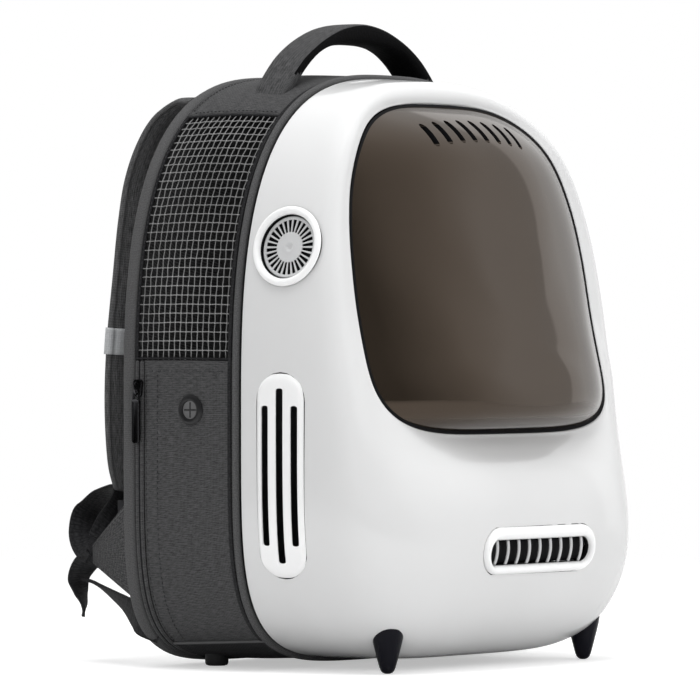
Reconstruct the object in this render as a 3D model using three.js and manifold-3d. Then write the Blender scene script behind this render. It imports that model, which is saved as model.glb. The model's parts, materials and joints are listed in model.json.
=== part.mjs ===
// Pet carrier backpack: a hard front shell with a bubble window, and a soft back half with straps.
// Millimetres, +Z up. The front faces -Y and y = 0 is the seam between the shell and the cloth.
// Left and right are as seen from the front, so left is -X.

import * as THREE from "three";
import { mergeVertices } from "three/addons/utils/BufferGeometryUtils.js";
import Module from "manifold-3d";

const wasm = await Module();
wasm.setup();

const { lerp, degToRad } = THREE.MathUtils;

// Driving dimensions

const gap = 0.4;

// How finely each kind of curve is cut into facets
const ringSteps = 36;
const arcSteps = 4;
const slotArcSteps = 2;
const topSteps = { along: 16, deep: 3 };
const sideSteps = { along: 10, deep: 3 };
const baseSteps = { along: 16, deep: 2 };
const zipSteps = 32;
const padSteps = 15;
const webbingSteps = 14;
const coneSides = 14;
const buttonSides = 12;
const grommetSides = 16;
const pinSides = 12;
const fineSteps = 200;

// Outlines seen from the front: two half superellipses that meet at the widest height
const seamRing = { halfWidth: 165, top: 402, bottom: 6, widest: 176, topRound: 2.85, baseRound: 4.55 };
const rimRing = { halfWidth: 133, top: 384, bottom: 159, widest: 225, topRound: 3.15, baseRound: 4.2 };

// How far the window rim stands in front of the seam, by height
const rimRows = [
  { height: 159, forward: 99 },
  { height: 195, forward: 85.5 },
  { height: 236, forward: 75 },
  { height: 277, forward: 68 },
  { height: 319, forward: 61 },
  { height: 355, forward: 54 },
  { height: 384, forward: 41 },
];

// The shell wall from the seam to the window rim, as shares of the way inward and forward:
// along the sides and top, and down the middle of the chin
const wallRows = [
  { sideIn: 0.0, sideForward: 0.0, chinIn: 0.0, chinForward: 0.0 },
  { sideIn: 0.02, sideForward: 0.2, chinIn: 0.001, chinForward: 0.31 },
  { sideIn: 0.04, sideForward: 0.42, chinIn: 0.003, chinForward: 0.66 },
  { sideIn: 0.07, sideForward: 0.62, chinIn: 0.024, chinForward: 0.92 },
  { sideIn: 0.12, sideForward: 0.79, chinIn: 0.1, chinForward: 1.12 },
  { sideIn: 0.2, sideForward: 0.91, chinIn: 0.25, chinForward: 1.265 },
  { sideIn: 0.31, sideForward: 0.985, chinIn: 0.47, chinForward: 1.325 },
  { sideIn: 0.45, sideForward: 1.02, chinIn: 0.69, chinForward: 1.31 },
  { sideIn: 0.62, sideForward: 1.03, chinIn: 0.84, chinForward: 1.23 },
  { sideIn: 0.82, sideForward: 1.015, chinIn: 0.93, chinForward: 1.11 },
  { sideIn: 1.0, sideForward: 1.0, chinIn: 1.0, chinForward: 1.0 },
];
const chinFalloff = 4;
const shellWall = 3;

const windowWall = 3;
const windowCrown = 34;
const windowRound = { side: 2, top: 5, bottom: 2.2 };
const windowShares = [0, 0.04, 0.12, 0.28, 0.55];
const windowSlots = { count: 8, pitch: 13.5, width: 4, height: 15, centre: 364.5, drop: 0.0022 };

const fan = { y: -32, z: 285.5, radius: 28.4, bore: 22.6, sides: 20, row: 2 };
const fanRingProfile = [
  { radius: 22.6, height: -4.5 },
  { radius: 28.4, height: -4.5 },
  { radius: 28.4, height: 1.4 },
  { radius: 26, height: 2.4 },
  { radius: 22.6, height: 0.4 },
];
const fanDisc = { recess: 3.2, thick: 2.4, slots: 20, slotFrom: 12, slotTo: 18.6, slotWidth: 1.9 };
const sideVent = { y: -35, z: 133, width: 42, height: 137, proud: 2, deep: 3 };
const sideVentSlots = { width: 4.8, pitch: 11.8, middle: 118, outer: 97 };
const grille = { z: 81, width: 130, height: 32, proud: 5, deep: 3.2 };
const grilleOpening = { width: 112, height: 18.5, drop: 2 };
const louvre = { slats: 9, slatWidth: 3, proud: 1, deep: 6, backFrom: 3.8 };

const frontFoot = { x: 111, y: -82 };
const frontFootProfile = [
  { radius: 5, height: 0 },
  { radius: 6.4, height: 1.4 },
  { radius: 8.4, height: 12 },
  { radius: 10, height: 24 },
  { radius: 10.8, height: 26 },
  { radius: 10.8, height: 48 },
];
const rearFoot = { x: 105, y: 70 };
const rearFootProfile = [
  { radius: 6.4, height: 0 },
  { radius: 8, height: 1.6 },
  { radius: 8, height: 16 },
];

const clothWall = 3;
const clothFront = 7.6;
const clothBack = 91.1;
const zipFront = 83;
const clothBulge = 2;
const clothFlare = 1.5;
const clothSquaring = 0.65;
const clothDrop = 2.8;
const sideFrom = 15;
const meshFrom = 209;
const meshTo = 374;
const net = { across: 5, along: 6, bar: 6, backBorder: 3 };
const piping = { y: 3.8, thick: 3.2, high: 2.8, sides: 5 };

// The padded back from the cabin side to the wearer's side
const backRows = [
  { inset: 8, y: 91.5 },
  { inset: 0.5, y: 92 },
  { inset: -1.6, y: 95.5 },
  { inset: 0.2, y: 99.5 },
  { inset: 7, y: 103 },
  { inset: 30, y: 106 },
];
const backCentre = { z: 200, front: 91.5, rear: 107 };

const grommet = { y: 41, z: 175.7, slit: 11, slitWidth: 1, slitDepth: 1.2 };
const grommetProfile = [
  { radius: 9.4, height: 0 },
  { radius: 10, height: 0.7 },
  { radius: 9.2, height: 2 },
  { radius: 6, height: 2.7 },
];

const zip = { y: 87, z: 190 };
const slider = { width: 10, length: 13, thick: 2.4 };
const bail = { width: 2.4, reach: 8, bar: 1.1, clear: 2.2 };
const pull = { pin: 0.75, axis: 1.1, drop: 1.7, wide: 8, eye: 3.4, arm: 6.3, length: 42, thick: 1.5 };

// Bands that are swept along a path: half width, thickness, and turn about the path in degrees
const handleRows = [
  { x: -90, y: 35, z: 381, wide: 15, thick: 9, turn: 0 },
  { x: -71, y: 35, z: 405, wide: 15, thick: 12, turn: 0 },
  { x: -47, y: 35, z: 423, wide: 15, thick: 14, turn: 0 },
  { x: 0, y: 35, z: 436, wide: 15, thick: 14, turn: 0 },
  { x: 47, y: 35, z: 423, wide: 15, thick: 14, turn: 0 },
  { x: 71, y: 35, z: 405, wide: 15, thick: 12, turn: 0 },
  { x: 90, y: 35, z: 381, wide: 15, thick: 9, turn: 0 },
];
const strapRows = [
  { x: -66, y: 107.5, z: 386, wide: 28, thick: 8, turn: 0 },
  { x: -68, y: 118, z: 384, wide: 29, thick: 9, turn: 0 },
  { x: -71, y: 131, z: 373, wide: 30, thick: 11, turn: 0 },
  { x: -75, y: 140, z: 356, wide: 30, thick: 13, turn: 0 },
  { x: -80, y: 145.5, z: 332, wide: 31, thick: 13.5, turn: 0 },
  { x: -85, y: 147.5, z: 303, wide: 31, thick: 14, turn: 0 },
  { x: -89, y: 149, z: 266, wide: 31, thick: 14, turn: 0 },
  { x: -92, y: 152, z: 220, wide: 31, thick: 14, turn: 0 },
  { x: -94, y: 153, z: 177, wide: 30, thick: 14, turn: 0 },
  { x: -97, y: 151.5, z: 138, wide: 26, thick: 12, turn: 0 },
  { x: -99, y: 149, z: 117, wide: 20, thick: 10, turn: 0 },
];
const webbingRows = [
  { x: -101, y: 156, z: 113, wide: 13, thick: 2, turn: 0 },
  { x: -105, y: 174, z: 115, wide: 13, thick: 2, turn: 0 },
  { x: -110, y: 186, z: 103, wide: 13, thick: 2, turn: 0 },
  { x: -116, y: 182, z: 87, wide: 13, thick: 2, turn: 25 },
  { x: -124, y: 168, z: 79, wide: 12, thick: 2, turn: 60 },
  { x: -130, y: 158, z: 76, wide: 8, thick: 2, turn: 85 },
];
const tailRows = [
  { x: -146, y: 110, z: 38, wide: 9, thick: 2, turn: 60 },
  { x: -136, y: 132, z: 44, wide: 11, thick: 2, turn: 40 },
  { x: -127, y: 152, z: 51, wide: 12, thick: 2, turn: 10 },
  { x: -123, y: 168, z: 55, wide: 13, thick: 2, turn: 0 },
  { x: -121, y: 178, z: 47, wide: 13, thick: 2, turn: 0 },
  { x: -120, y: 178, z: 34, wide: 13, thick: 2, turn: 0 },
];
const reflector = { from: 0.68, to: 0.72, thick: 1 };
const buckle = { x: -100, y: 147, z: 102, width: 34, height: 20, thick: 5, slot: 26, slotHeight: 4 };
const tab = { x: -156, y: 105.5, top: 113, bottom: 47, apex: 75, apexX: -133, apexY: 156, thick: 2.6 };
const tabApexHeight = 12;

// Colours and finishes

function finish(color, roughness, metalness = 0) {
  return new THREE.MeshStandardMaterial({ color, roughness, metalness });
}

const whitePlastic = finish("#ececec", 0.18);
const greyPlastic = finish("#c9cacb", 0.3);
const darkPlastic = finish("#1b1c1f", 0.35);
const blackGloss = finish("#0c0d12", 0.15);
const smokedPlastic = finish("#5b5048", 0.1);
const charcoalCloth = finish("#3d3d3f", 0.9);
const darkCloth = finish("#2a2a2c", 0.9);
const netThread = finish("#8f8f8f", 0.8);
const webbingCloth = finish("#1f1f21", 0.85);
const reflectiveTape = finish("#b9bcbd", 0.45);
const blackRubber = finish("#202124", 0.6);
const darkMetal = finish("#2b2c2f", 0.4, 0.8);

// Closed geometry from grids of points

function closedGeometry(points, faces) {
  const geometry = new THREE.BufferGeometry();
  geometry.setAttribute("position", new THREE.Float32BufferAttribute(points.flatMap((p) => p.toArray()), 3));
  geometry.setIndex(faces.flat());
  const merged = mergeVertices(geometry, 1e-4);
  const index = merged.index.array;
  const kept = [];
  for (let i = 0; i < index.length; i += 3) {
    const [a, b, c] = index.slice(i, i + 3);
    if (a !== b && b !== c && c !== a) kept.push(a, b, c);
  }
  merged.setIndex(kept);
  return merged;
}

// A surface through closed rings. It ends in poles, where a ring is one point, or runs back to
// the first ring.
function ringGeometry(rings, endless = false) {
  const columns = rings[0].length;
  const spans = endless ? rings.length : rings.length - 1;
  const faces = [];
  for (let r = 0; r < spans; r += 1) {
    const here = r * columns;
    const next = ((r + 1) % rings.length) * columns;
    for (let c = 0; c < columns; c += 1) {
      const d = (c + 1) % columns;
      faces.push([here + c, here + d, next + d], [here + c, next + d, next + c]);
    }
  }
  return closedGeometry(rings.flat(), faces);
}

// A sheet with thickness, from matching outer and inner grids. Cells that aren't solid are left open.
function slabGeometry(outer, inner, solid = () => true) {
  const rows = outer.length - 1;
  const columns = outer[0].length - 1;
  const isSolid = (r, c) => r >= 0 && c >= 0 && r < rows && c < columns && solid(r, c);
  const half = outer.length * outer[0].length;
  const at = (r, c) => r * (columns + 1) + c;
  const faces = [];
  const quad = (a, b, c, d) => faces.push([a, b, c], [a, c, d]);
  for (let r = 0; r < rows; r += 1) {
    for (let c = 0; c < columns; c += 1) {
      if (!isSolid(r, c)) continue;
      const corner = [at(r, c), at(r, c + 1), at(r + 1, c + 1), at(r + 1, c)];
      const under = corner.map((i) => i + half);
      quad(...corner);
      quad(...under.toReversed());
      const open = [!isSolid(r - 1, c), !isSolid(r, c + 1), !isSolid(r + 1, c), !isSolid(r, c - 1)];
      open.forEach((edge, k) => {
        const next = (k + 1) % 4;
        if (edge) quad(corner[next], corner[k], under[k], under[next]);
      });
    }
  }
  return closedGeometry([...outer.flat(), ...inner.flat()], faces);
}

function solidOf(geometry) {
  const bare = geometry.clone();
  bare.deleteAttribute("normal");
  bare.deleteAttribute("uv");
  const merged = mergeVertices(bare, 1e-4);
  const vertProperties = new Float32Array(merged.attributes.position.array);
  const triVerts = new Uint32Array(merged.index.array);
  return new wasm.Manifold(new wasm.Mesh({ numProp: 3, vertProperties, triVerts }));
}

function geometryOf(solid) {
  const mesh = solid.getMesh();
  const geometry = new THREE.BufferGeometry();
  geometry.setAttribute("position", new THREE.Float32BufferAttribute(mesh.vertProperties, 3));
  geometry.setIndex([...mesh.triVerts]);
  return geometry;
}

function mirrored(geometry) {
  const copy = geometry.clone();
  copy.scale(-1, 1, 1);
  copy.setIndex([...copy.index.array].toReversed());
  return copy;
}

// Outlines and the shell surface

function outline(ring, angle) {
  const across = Math.cos(angle);
  const up = Math.sin(angle);
  const power = 2 / (up >= 0 ? ring.topRound : ring.baseRound);
  const reach = up >= 0 ? ring.top - ring.widest : ring.widest - ring.bottom;
  const x = ring.halfWidth * Math.sign(across) * Math.abs(across) ** power;
  const z = ring.widest + reach * Math.sign(up) * Math.abs(up) ** power;
  return { x, z };
}

// The angle at which an outline's left side has a given height
function leftAngle(ring, height) {
  const above = height >= ring.widest;
  const round = above ? ring.topRound : ring.baseRound;
  const reach = above ? ring.top - ring.widest : ring.widest - ring.bottom;
  const rise = Math.asin((Math.abs(height - ring.widest) / reach) ** (round / 2));
  return above ? Math.PI - rise : Math.PI + rise;
}

function curveThrough(rows, columns) {
  const places = rows.map((row, index) => index / (rows.length - 1));
  const values = rows.flatMap((row) => columns.map((column) => row[column]));
  return new THREE.CubicInterpolant(places, values, columns.length);
}

const rimCurve = new THREE.CubicInterpolant(
  rimRows.map((row) => row.height),
  rimRows.map((row) => row.forward),
  1,
);

function rimForward(height) {
  return rimCurve.evaluate(height)[0];
}

const ringAngles = Array.from({ length: ringSteps }, (_, i) => (i / ringSteps) * 2 * Math.PI);

function shellPoint(row, angle) {
  const seam = outline(seamRing, angle);
  const rim = outline(rimRing, angle);
  const chin = Math.sin(angle) < 0 ? 1 - Math.abs(rim.x / rimRing.halfWidth) ** chinFalloff : 0;
  const inward = lerp(row.sideIn, row.chinIn, chin);
  const forward = lerp(row.sideForward, row.chinForward, chin);
  const x = lerp(seam.x, rim.x, inward);
  const z = lerp(seam.z, rim.z, inward);
  return new THREE.Vector3(x, -forward * rimForward(rim.z), z);
}

const shellGrid = wallRows.map((row) => ringAngles.map((angle) => shellPoint(row, angle)));

// The grid moved along its own normals, outward where the amount is above nought
function offsetGrid(grid, amount) {
  const columns = grid[0].length;
  return grid.map((row, r) => row.map((point, c) => {
    const before = grid[Math.max(r - 1, 0)][c];
    const after = grid[Math.min(r + 1, grid.length - 1)][c];
    const along = new THREE.Vector3().subVectors(after, before);
    const around = new THREE.Vector3().subVectors(row[(c + 1) % columns], row[(c + columns - 1) % columns]);
    return point.clone().addScaledVector(around.cross(along).normalize(), amount);
  }));
}

function pole(columns, x, y, z) {
  return Array.from({ length: columns }, () => new THREE.Vector3(x, y, z));
}

// Everything inside the shell's outer face when that face is moved outward by an amount
function shellVolume(amount) {
  const grid = offsetGrid(shellGrid, amount);
  const behind = pole(ringSteps, 0, 0, seamRing.widest);
  const before = pole(ringSteps, 0, -rimForward(rimRing.widest), rimRing.widest);
  return solidOf(ringGeometry([behind, ...grid, before]));
}

// The layer that follows the shell from one depth below its face to one height above it
function shellSkin(proud, deep) {
  return shellVolume(proud).subtract(shellVolume(-deep));
}

// Cutters

function pillShape(width, height) {
  const radius = Math.min(width, height) / 2;
  const halfX = width / 2 - radius;
  const halfY = height / 2 - radius;
  const shape = new THREE.Shape();
  if (width >= height) {
    shape.absarc(halfX, 0, radius, -Math.PI / 2, Math.PI / 2);
    shape.absarc(-halfX, 0, radius, Math.PI / 2, (3 * Math.PI) / 2);
  } else {
    shape.absarc(0, halfY, radius, 0, Math.PI);
    shape.absarc(0, -halfY, radius, Math.PI, 2 * Math.PI);
  }
  return shape;
}

function extruded(shape, depth, curveSegments = arcSteps) {
  const geometry = new THREE.ExtrudeGeometry(shape, { depth, bevelEnabled: false, curveSegments });
  return geometry.translate(0, 0, -depth / 2);
}

const cutDepth = 120;

// A pill in the side view, which runs through the left wall along X
function sidePill(width, height, y, z, curveSegments) {
  const geometry = extruded(pillShape(width, height), cutDepth, curveSegments);
  geometry.rotateX(Math.PI / 2).rotateZ(-Math.PI / 2);
  return solidOf(geometry.translate(-seamRing.halfWidth, y, z));
}

// A pill in the front view, which runs through the front along Y
function frontPill(width, height, x, z, curveSegments) {
  const geometry = extruded(pillShape(width, height), cutDepth, curveSegments);
  geometry.rotateX(Math.PI / 2);
  return solidOf(geometry.translate(x, -rimForward(rimRing.bottom), z));
}

// The fan sits square on the left wall, which leans in towards the top
function fanSeat() {
  const angle = leftAngle(seamRing, fan.z);
  const step = degToRad(2);
  const here = outline(seamRing, angle);
  const above = outline(seamRing, angle - step);
  const below = outline(seamRing, angle + step);
  const normal = new THREE.Vector3(below.z - above.z, 0, above.x - below.x).normalize();
  const wallIn = (seamRing.halfWidth - rimRing.halfWidth) * wallRows[fan.row].sideIn;
  const seat = new THREE.Object3D();
  seat.position.set(here.x + wallIn, fan.y, here.z);
  seat.quaternion.setFromUnitVectors(new THREE.Vector3(0, 0, 1), normal);
  seat.updateMatrix();
  return seat.matrix;
}

const fanMatrix = fanSeat();

function fanCylinder(radius) {
  const geometry = new THREE.CylinderGeometry(radius, radius, cutDepth / 2, fan.sides);
  return solidOf(geometry.rotateX(Math.PI / 2).applyMatrix4(fanMatrix));
}

// Hard front pieces

function shellGeometry() {
  const inner = offsetGrid(shellGrid, -shellWall).filter((row, r) => r % 2 === 0);
  const wall = solidOf(ringGeometry([...shellGrid, ...inner.toReversed()], true));
  const grow = 2 * gap;
  const fanHole = fanCylinder(fan.radius + gap);
  const ventHole = sidePill(sideVent.width + grow, sideVent.height + grow, sideVent.y, sideVent.z);
  const grilleHole = frontPill(grille.width + grow, grille.height + grow, 0, grille.z);
  const leftHoles = fanHole.add(ventHole);
  const rightHoles = solidOf(mirrored(geometryOf(leftHoles)));
  return geometryOf(wall.subtract(leftHoles).subtract(rightHoles).subtract(grilleHole));
}

function windowPoint(share, angle) {
  const edge = { ...rimRing, halfWidth: rimRing.halfWidth - gap };
  edge.top -= gap;
  edge.bottom += gap;
  const rim = outline(edge, angle);
  const x = rim.x * (1 - share);
  const z = lerp(rim.z, edge.widest, share);
  const upright = Math.sin(angle) ** 2;
  const endRound = Math.sin(angle) >= 0 ? windowRound.top : windowRound.bottom;
  const round = lerp(windowRound.side, endRound, upright);
  const rise = (1 - (1 - share) ** round) ** (1 / round);
  return new THREE.Vector3(x, -rimForward(z) - windowCrown * rise, z);
}

function windowGeometry() {
  const outer = windowShares.map((share) => ringAngles.map((angle) => windowPoint(share, angle)));
  const inner = offsetGrid(outer, -windowWall);
  const crownY = -rimForward(rimRing.widest) - windowCrown;
  const top = pole(ringSteps, 0, crownY, rimRing.widest);
  const under = pole(ringSteps, 0, crownY + windowWall, rimRing.widest);
  let dome = solidOf(ringGeometry([under, ...inner.toReversed(), ...outer, top]));
  for (let i = 0; i < windowSlots.count; i += 1) {
    const x = (i - (windowSlots.count - 1) / 2) * windowSlots.pitch;
    const z = windowSlots.centre - windowSlots.drop * x * x;
    dome = dome.subtract(frontPill(windowSlots.width, windowSlots.height, x, z, slotArcSteps));
  }
  return geometryOf(dome);
}

function fanRingGeometry() {
  const profile = fanRingProfile.map((row) => new THREE.Vector2(row.radius, row.height));
  const ring = new THREE.LatheGeometry([...profile, profile[0]], fan.sides);
  return ring.rotateX(Math.PI / 2).applyMatrix4(fanMatrix);
}

function fanGrilleGeometry() {
  const disc = new THREE.Shape().absarc(0, 0, fan.bore - gap, 0, 2 * Math.PI);
  const halfWidth = fanDisc.slotWidth / 2;
  for (let i = 0; i < fanDisc.slots; i += 1) {
    const turn = (i / fanDisc.slots) * 2 * Math.PI;
    const corners = [
      new THREE.Vector2(fanDisc.slotFrom, -halfWidth),
      new THREE.Vector2(fanDisc.slotTo, -halfWidth),
      new THREE.Vector2(fanDisc.slotTo, halfWidth),
      new THREE.Vector2(fanDisc.slotFrom, halfWidth),
    ];
    const centre = new THREE.Vector2();
    disc.holes.push(new THREE.Path(corners.map((corner) => corner.rotateAround(centre, turn))));
  }
  const geometry = extruded(disc, fanDisc.thick, fan.sides / 2);
  return geometry.translate(0, 0, -fanDisc.recess).applyMatrix4(fanMatrix);
}

function sideVentGeometry() {
  let plate = sidePill(sideVent.width, sideVent.height, sideVent.y, sideVent.z);
  for (const [place, length] of [[-1, "outer"], [0, "middle"], [1, "outer"]]) {
    const y = sideVent.y + place * sideVentSlots.pitch;
    plate = plate.subtract(sidePill(sideVentSlots.width, sideVentSlots[length], y, sideVent.z, slotArcSteps));
  }
  return geometryOf(plate.intersect(shellSkin(sideVent.proud, sideVent.deep)));
}

function grilleFrameGeometry() {
  const plate = frontPill(grille.width, grille.height, 0, grille.z);
  const opening = frontPill(grilleOpening.width, grilleOpening.height, 0, grille.z - grilleOpening.drop);
  return geometryOf(plate.subtract(opening).intersect(shellSkin(grille.proud, grille.deep)));
}

function grilleLouvreGeometry() {
  const width = grilleOpening.width - 2 * gap;
  const height = grilleOpening.height - 2 * gap;
  const z = grille.z - grilleOpening.drop;
  const plate = frontPill(width, height, 0, z).intersect(shellSkin(louvre.proud, louvre.deep));
  const pitch = (width - height / 2) / louvre.slats;
  let openings = null;
  for (let i = 0; i <= louvre.slats; i += 1) {
    const x = (i - louvre.slats / 2) * pitch;
    const box = new THREE.BoxGeometry(pitch - louvre.slatWidth, cutDepth, height - 2 * louvre.slatWidth);
    const slot = solidOf(box.translate(x, -rimForward(rimRing.bottom), z));
    openings = openings ? openings.add(slot) : slot;
  }
  return geometryOf(plate.subtract(openings.subtract(shellVolume(-louvre.backFrom))));
}

function turned(profile, segments) {
  const points = profile.map((row) => new THREE.Vector2(row.radius, row.height));
  const last = profile.at(-1);
  const closed = [new THREE.Vector2(0, profile[0].height), ...points, new THREE.Vector2(0, last.height)];
  return new THREE.LatheGeometry(closed, segments).rotateX(Math.PI / 2);
}

function frontFootGeometry() {
  const cone = turned(frontFootProfile, coneSides).translate(-frontFoot.x, frontFoot.y, 0);
  return geometryOf(solidOf(cone).subtract(shellVolume(gap)));
}

// Soft back pieces

// The cloth ring at a depth behind the seam, moved inward by an inset.
// Its base gets squarer and lower towards the back.
function clothRing(y, inset = 0) {
  const share = y / clothBack;
  const out = clothBulge * Math.sin(Math.PI * Math.min(share, 1)) + clothFlare * share - inset;
  return {
    ...seamRing,
    halfWidth: seamRing.halfWidth + out,
    top: seamRing.top + out,
    bottom: seamRing.bottom - clothDrop * share + inset,
    baseRound: seamRing.baseRound + clothSquaring * share,
  };
}

function clothPoint(angle, y, inset) {
  const { x, z } = outline(clothRing(y, inset), angle);
  return new THREE.Vector3(x, y, z);
}

// Angles that share out the length of the outline between two angles evenly
function evenAngles(from, to, shares) {
  const angles = evenShares(fineSteps).map((share) => lerp(from, to, share));
  const lengths = [0];
  for (let i = 1; i <= fineSteps; i += 1) {
    const step = clothPoint(angles[i], 0).distanceTo(clothPoint(angles[i - 1], 0));
    lengths.push(lengths[i - 1] + step);
  }
  const curve = new THREE.LinearInterpolant(lengths, angles, 1);
  return shares.map((share) => curve.evaluate(share * lengths[fineSteps])[0]);
}

function evenShares(steps) {
  return Array.from({ length: steps + 1 }, (_, i) => i / steps);
}

function clothPanel(angles, depths, solid) {
  const layer = (inset) => angles.map((angle) => depths.map((y) => clothPoint(angle, y, inset)));
  return slabGeometry(layer(0), layer(clothWall), solid);
}

function depthsBetween(front, back, steps) {
  return evenShares(steps).map((share) => lerp(front, back, share));
}

// Where the cloth is seamed on the left, as angles round the outline
const seamShare = degToRad(0.25);
const angleAt = {
  base: leftAngle(seamRing, sideFrom),
  meshFoot: leftAngle(seamRing, meshFrom),
  meshHead: leftAngle(seamRing, meshTo),
};

function clothTopGeometry() {
  const right = Math.PI - angleAt.meshHead + seamShare;
  const angles = evenAngles(right, angleAt.meshHead - seamShare, evenShares(topSteps.along));
  return clothPanel(angles, depthsBetween(clothFront, clothBack, topSteps.deep));
}

function clothSideGeometry() {
  const foot = angleAt.base - seamShare;
  const angles = evenAngles(angleAt.meshFoot + seamShare, foot, evenShares(sideSteps.along));
  return clothPanel(angles, depthsBetween(clothFront, zipFront - gap, sideSteps.deep));
}

function clothBaseGeometry() {
  const right = 3 * Math.PI - angleAt.base - seamShare;
  const angles = evenAngles(angleAt.base + seamShare, right, evenShares(baseSteps.along));
  return clothPanel(angles, depthsBetween(clothFront, zipFront - gap, baseSteps.deep));
}

function zipTapeGeometry() {
  const right = 3 * Math.PI - angleAt.meshFoot - seamShare;
  const angles = evenAngles(angleAt.meshFoot + seamShare, right, evenShares(zipSteps));
  return clothPanel(angles, [zipFront, clothBack]);
}

// Places of alternate bars and openings between two ends
function netPlaces(from, to, openings, bar) {
  const opening = (to - from - (openings + 1) * bar) / openings;
  const places = [from];
  for (let i = 0; i < openings; i += 1) {
    const edge = places.at(-1) + bar;
    places.push(edge, edge + opening);
  }
  return [...places, to];
}

function meshGeometry() {
  const length = meshTo - meshFrom;
  const shares = netPlaces(0, 1, net.along, net.bar / length);
  const angles = evenAngles(angleAt.meshHead + seamShare, angleAt.meshFoot - seamShare, shares);
  const places = netPlaces(clothFront, clothBack - net.backBorder, net.across, net.bar);
  const depths = [...places.slice(0, -1), clothBack];
  return clothPanel(angles, depths, (r, c) => r % 2 === 0 || c % 2 === 0);
}

function pipingGeometry() {
  const sides = Array.from({ length: piping.sides }, (_, i) => (i / piping.sides) * 2 * Math.PI);
  const rings = sides.map((side) => ringAngles.map((angle) => {
    const y = piping.y + piping.thick * Math.cos(side);
    return clothPoint(angle, y, -piping.high * Math.sin(side));
  }));
  return ringGeometry(rings, true);
}

function backPanelGeometry() {
  const rings = backRows.map((row) => ringAngles.map((angle) => clothPoint(angle, row.y, row.inset)));
  const front = pole(ringSteps, 0, backCentre.front, backCentre.z);
  const rear = pole(ringSteps, 0, backCentre.rear, backCentre.z);
  return ringGeometry([rear, ...rings.toReversed(), front]);
}

function grommetGeometry() {
  const wallX = -clothRing(grommet.y).halfWidth - gap;
  let button = solidOf(turned(grommetProfile, grommetSides));
  const top = grommetProfile.at(-1).height;
  for (const turn of [0, Math.PI / 2]) {
    const box = new THREE.BoxGeometry(grommet.slit, grommet.slitWidth, 2 * grommet.slitDepth);
    button = button.subtract(solidOf(box.rotateZ(turn).translate(0, 0, top)));
  }
  return geometryOf(button).rotateY(-Math.PI / 2).translate(wallX, grommet.y, grommet.z);
}

// The zip pull hangs from a pin that lies across the zip under the slider's bail.
// Both are drawn with Z up the zip and -X away from the cloth.
const zipFace = -clothRing(zip.y).halfWidth - gap;

function boxBetween(x, y, z) {
  const box = new THREE.BoxGeometry(x[1] - x[0], y[1] - y[0], z[1] - z[0]);
  return solidOf(box.translate((x[0] + x[1]) / 2, (y[0] + y[1]) / 2, (z[0] + z[1]) / 2));
}

function zipSliderGeometry() {
  const halfWidth = slider.width / 2;
  const halfBail = bail.width / 2;
  const under = -slider.thick - bail.clear;
  const over = under - bail.bar;
  const halfLength = slider.length / 2;
  const body = boxBetween([-slider.thick, 0], [-halfWidth, halfWidth], [-halfLength, halfLength]);
  const halfReach = bail.reach / 2;
  const arch = boxBetween([over, -slider.thick / 2], [-halfBail, halfBail], [-halfReach, halfReach]);
  const inside = halfReach - bail.bar;
  const eye = boxBetween([under, -slider.thick], [-halfWidth, halfWidth], [-inside, inside]);
  return geometryOf(body.add(arch.subtract(eye))).translate(zipFace, zip.y, zip.z);
}

const pullPivot = { x: zipFace - slider.thick - pull.axis, y: zip.y, z: zip.z - pull.drop };

function zipPullGeometry() {
  const halfWide = pull.wide / 2;
  const halfThick = pull.thick / 2;
  const plate = boxBetween([-halfThick, halfThick], [-halfWide, halfWide], [-pull.length, 0]);
  const pin = new THREE.CylinderGeometry(pull.pin, pull.pin, pull.wide, pinSides);
  const eye = boxBetween([-pull.wide, pull.wide], [-pull.eye / 2, pull.eye / 2], [-pull.arm, -pull.pin / 2]);
  const tabShape = plate.subtract(eye).add(solidOf(pin));
  return geometryOf(tabShape).translate(pullPivot.x, pullPivot.y, pullPivot.z);
}

// Swept bands

const bandColumns = ["x", "y", "z", "wide", "thick", "turn"];
const paddedSection = [
  { across: 1, up: -0.25 },
  { across: 1, up: 0.25 },
  { across: 0.86, up: 0.5 },
  { across: -0.86, up: 0.5 },
  { across: -1, up: 0.25 },
  { across: -1, up: -0.25 },
  { across: -0.86, up: -0.5 },
  { across: 0.86, up: -0.5 },
];
const flatSection = [
  { across: 1, up: -0.5 },
  { across: 1, up: 0.5 },
  { across: -1, up: 0.5 },
  { across: -1, up: -0.5 },
];

// One section of a band: its corners at a place along the path, grown by an amount
function bandRing(rows, section, widthAxis, place, grow = 0) {
  const curve = curveThrough(rows, bandColumns);
  const read = (at) => Array.from(curve.evaluate(THREE.MathUtils.clamp(at, 0, 1)));
  const [x, y, z, wide, thick, turn] = read(place);
  const step = 0.01;
  const ahead = new THREE.Vector3(...read(place + step));
  const tangent = ahead.sub(new THREE.Vector3(...read(place - step))).normalize();
  const across = widthAxis.clone().addScaledVector(tangent, -widthAxis.dot(tangent)).normalize();
  across.applyAxisAngle(tangent, degToRad(turn));
  const up = new THREE.Vector3().crossVectors(tangent, across);
  return section.map((corner) => new THREE.Vector3(x, y, z)
    .addScaledVector(across, corner.across * (wide + grow))
    .addScaledVector(up, corner.up * (thick + 2 * grow)));
}

function bandGeometry(rows, section, widthAxis, steps) {
  const rings = evenShares(steps).map((place) => bandRing(rows, section, widthAxis, place));
  const middle = (ring) => ring.reduce((sum, p) => sum.add(p), new THREE.Vector3()).divideScalar(ring.length);
  const first = pole(section.length, ...middle(rings[0]).toArray());
  const last = pole(section.length, ...middle(rings.at(-1)).toArray());
  return ringGeometry([first, ...rings, last]);
}

const alongX = new THREE.Vector3(1, 0, 0);
const alongY = new THREE.Vector3(0, 1, 0);

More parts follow.
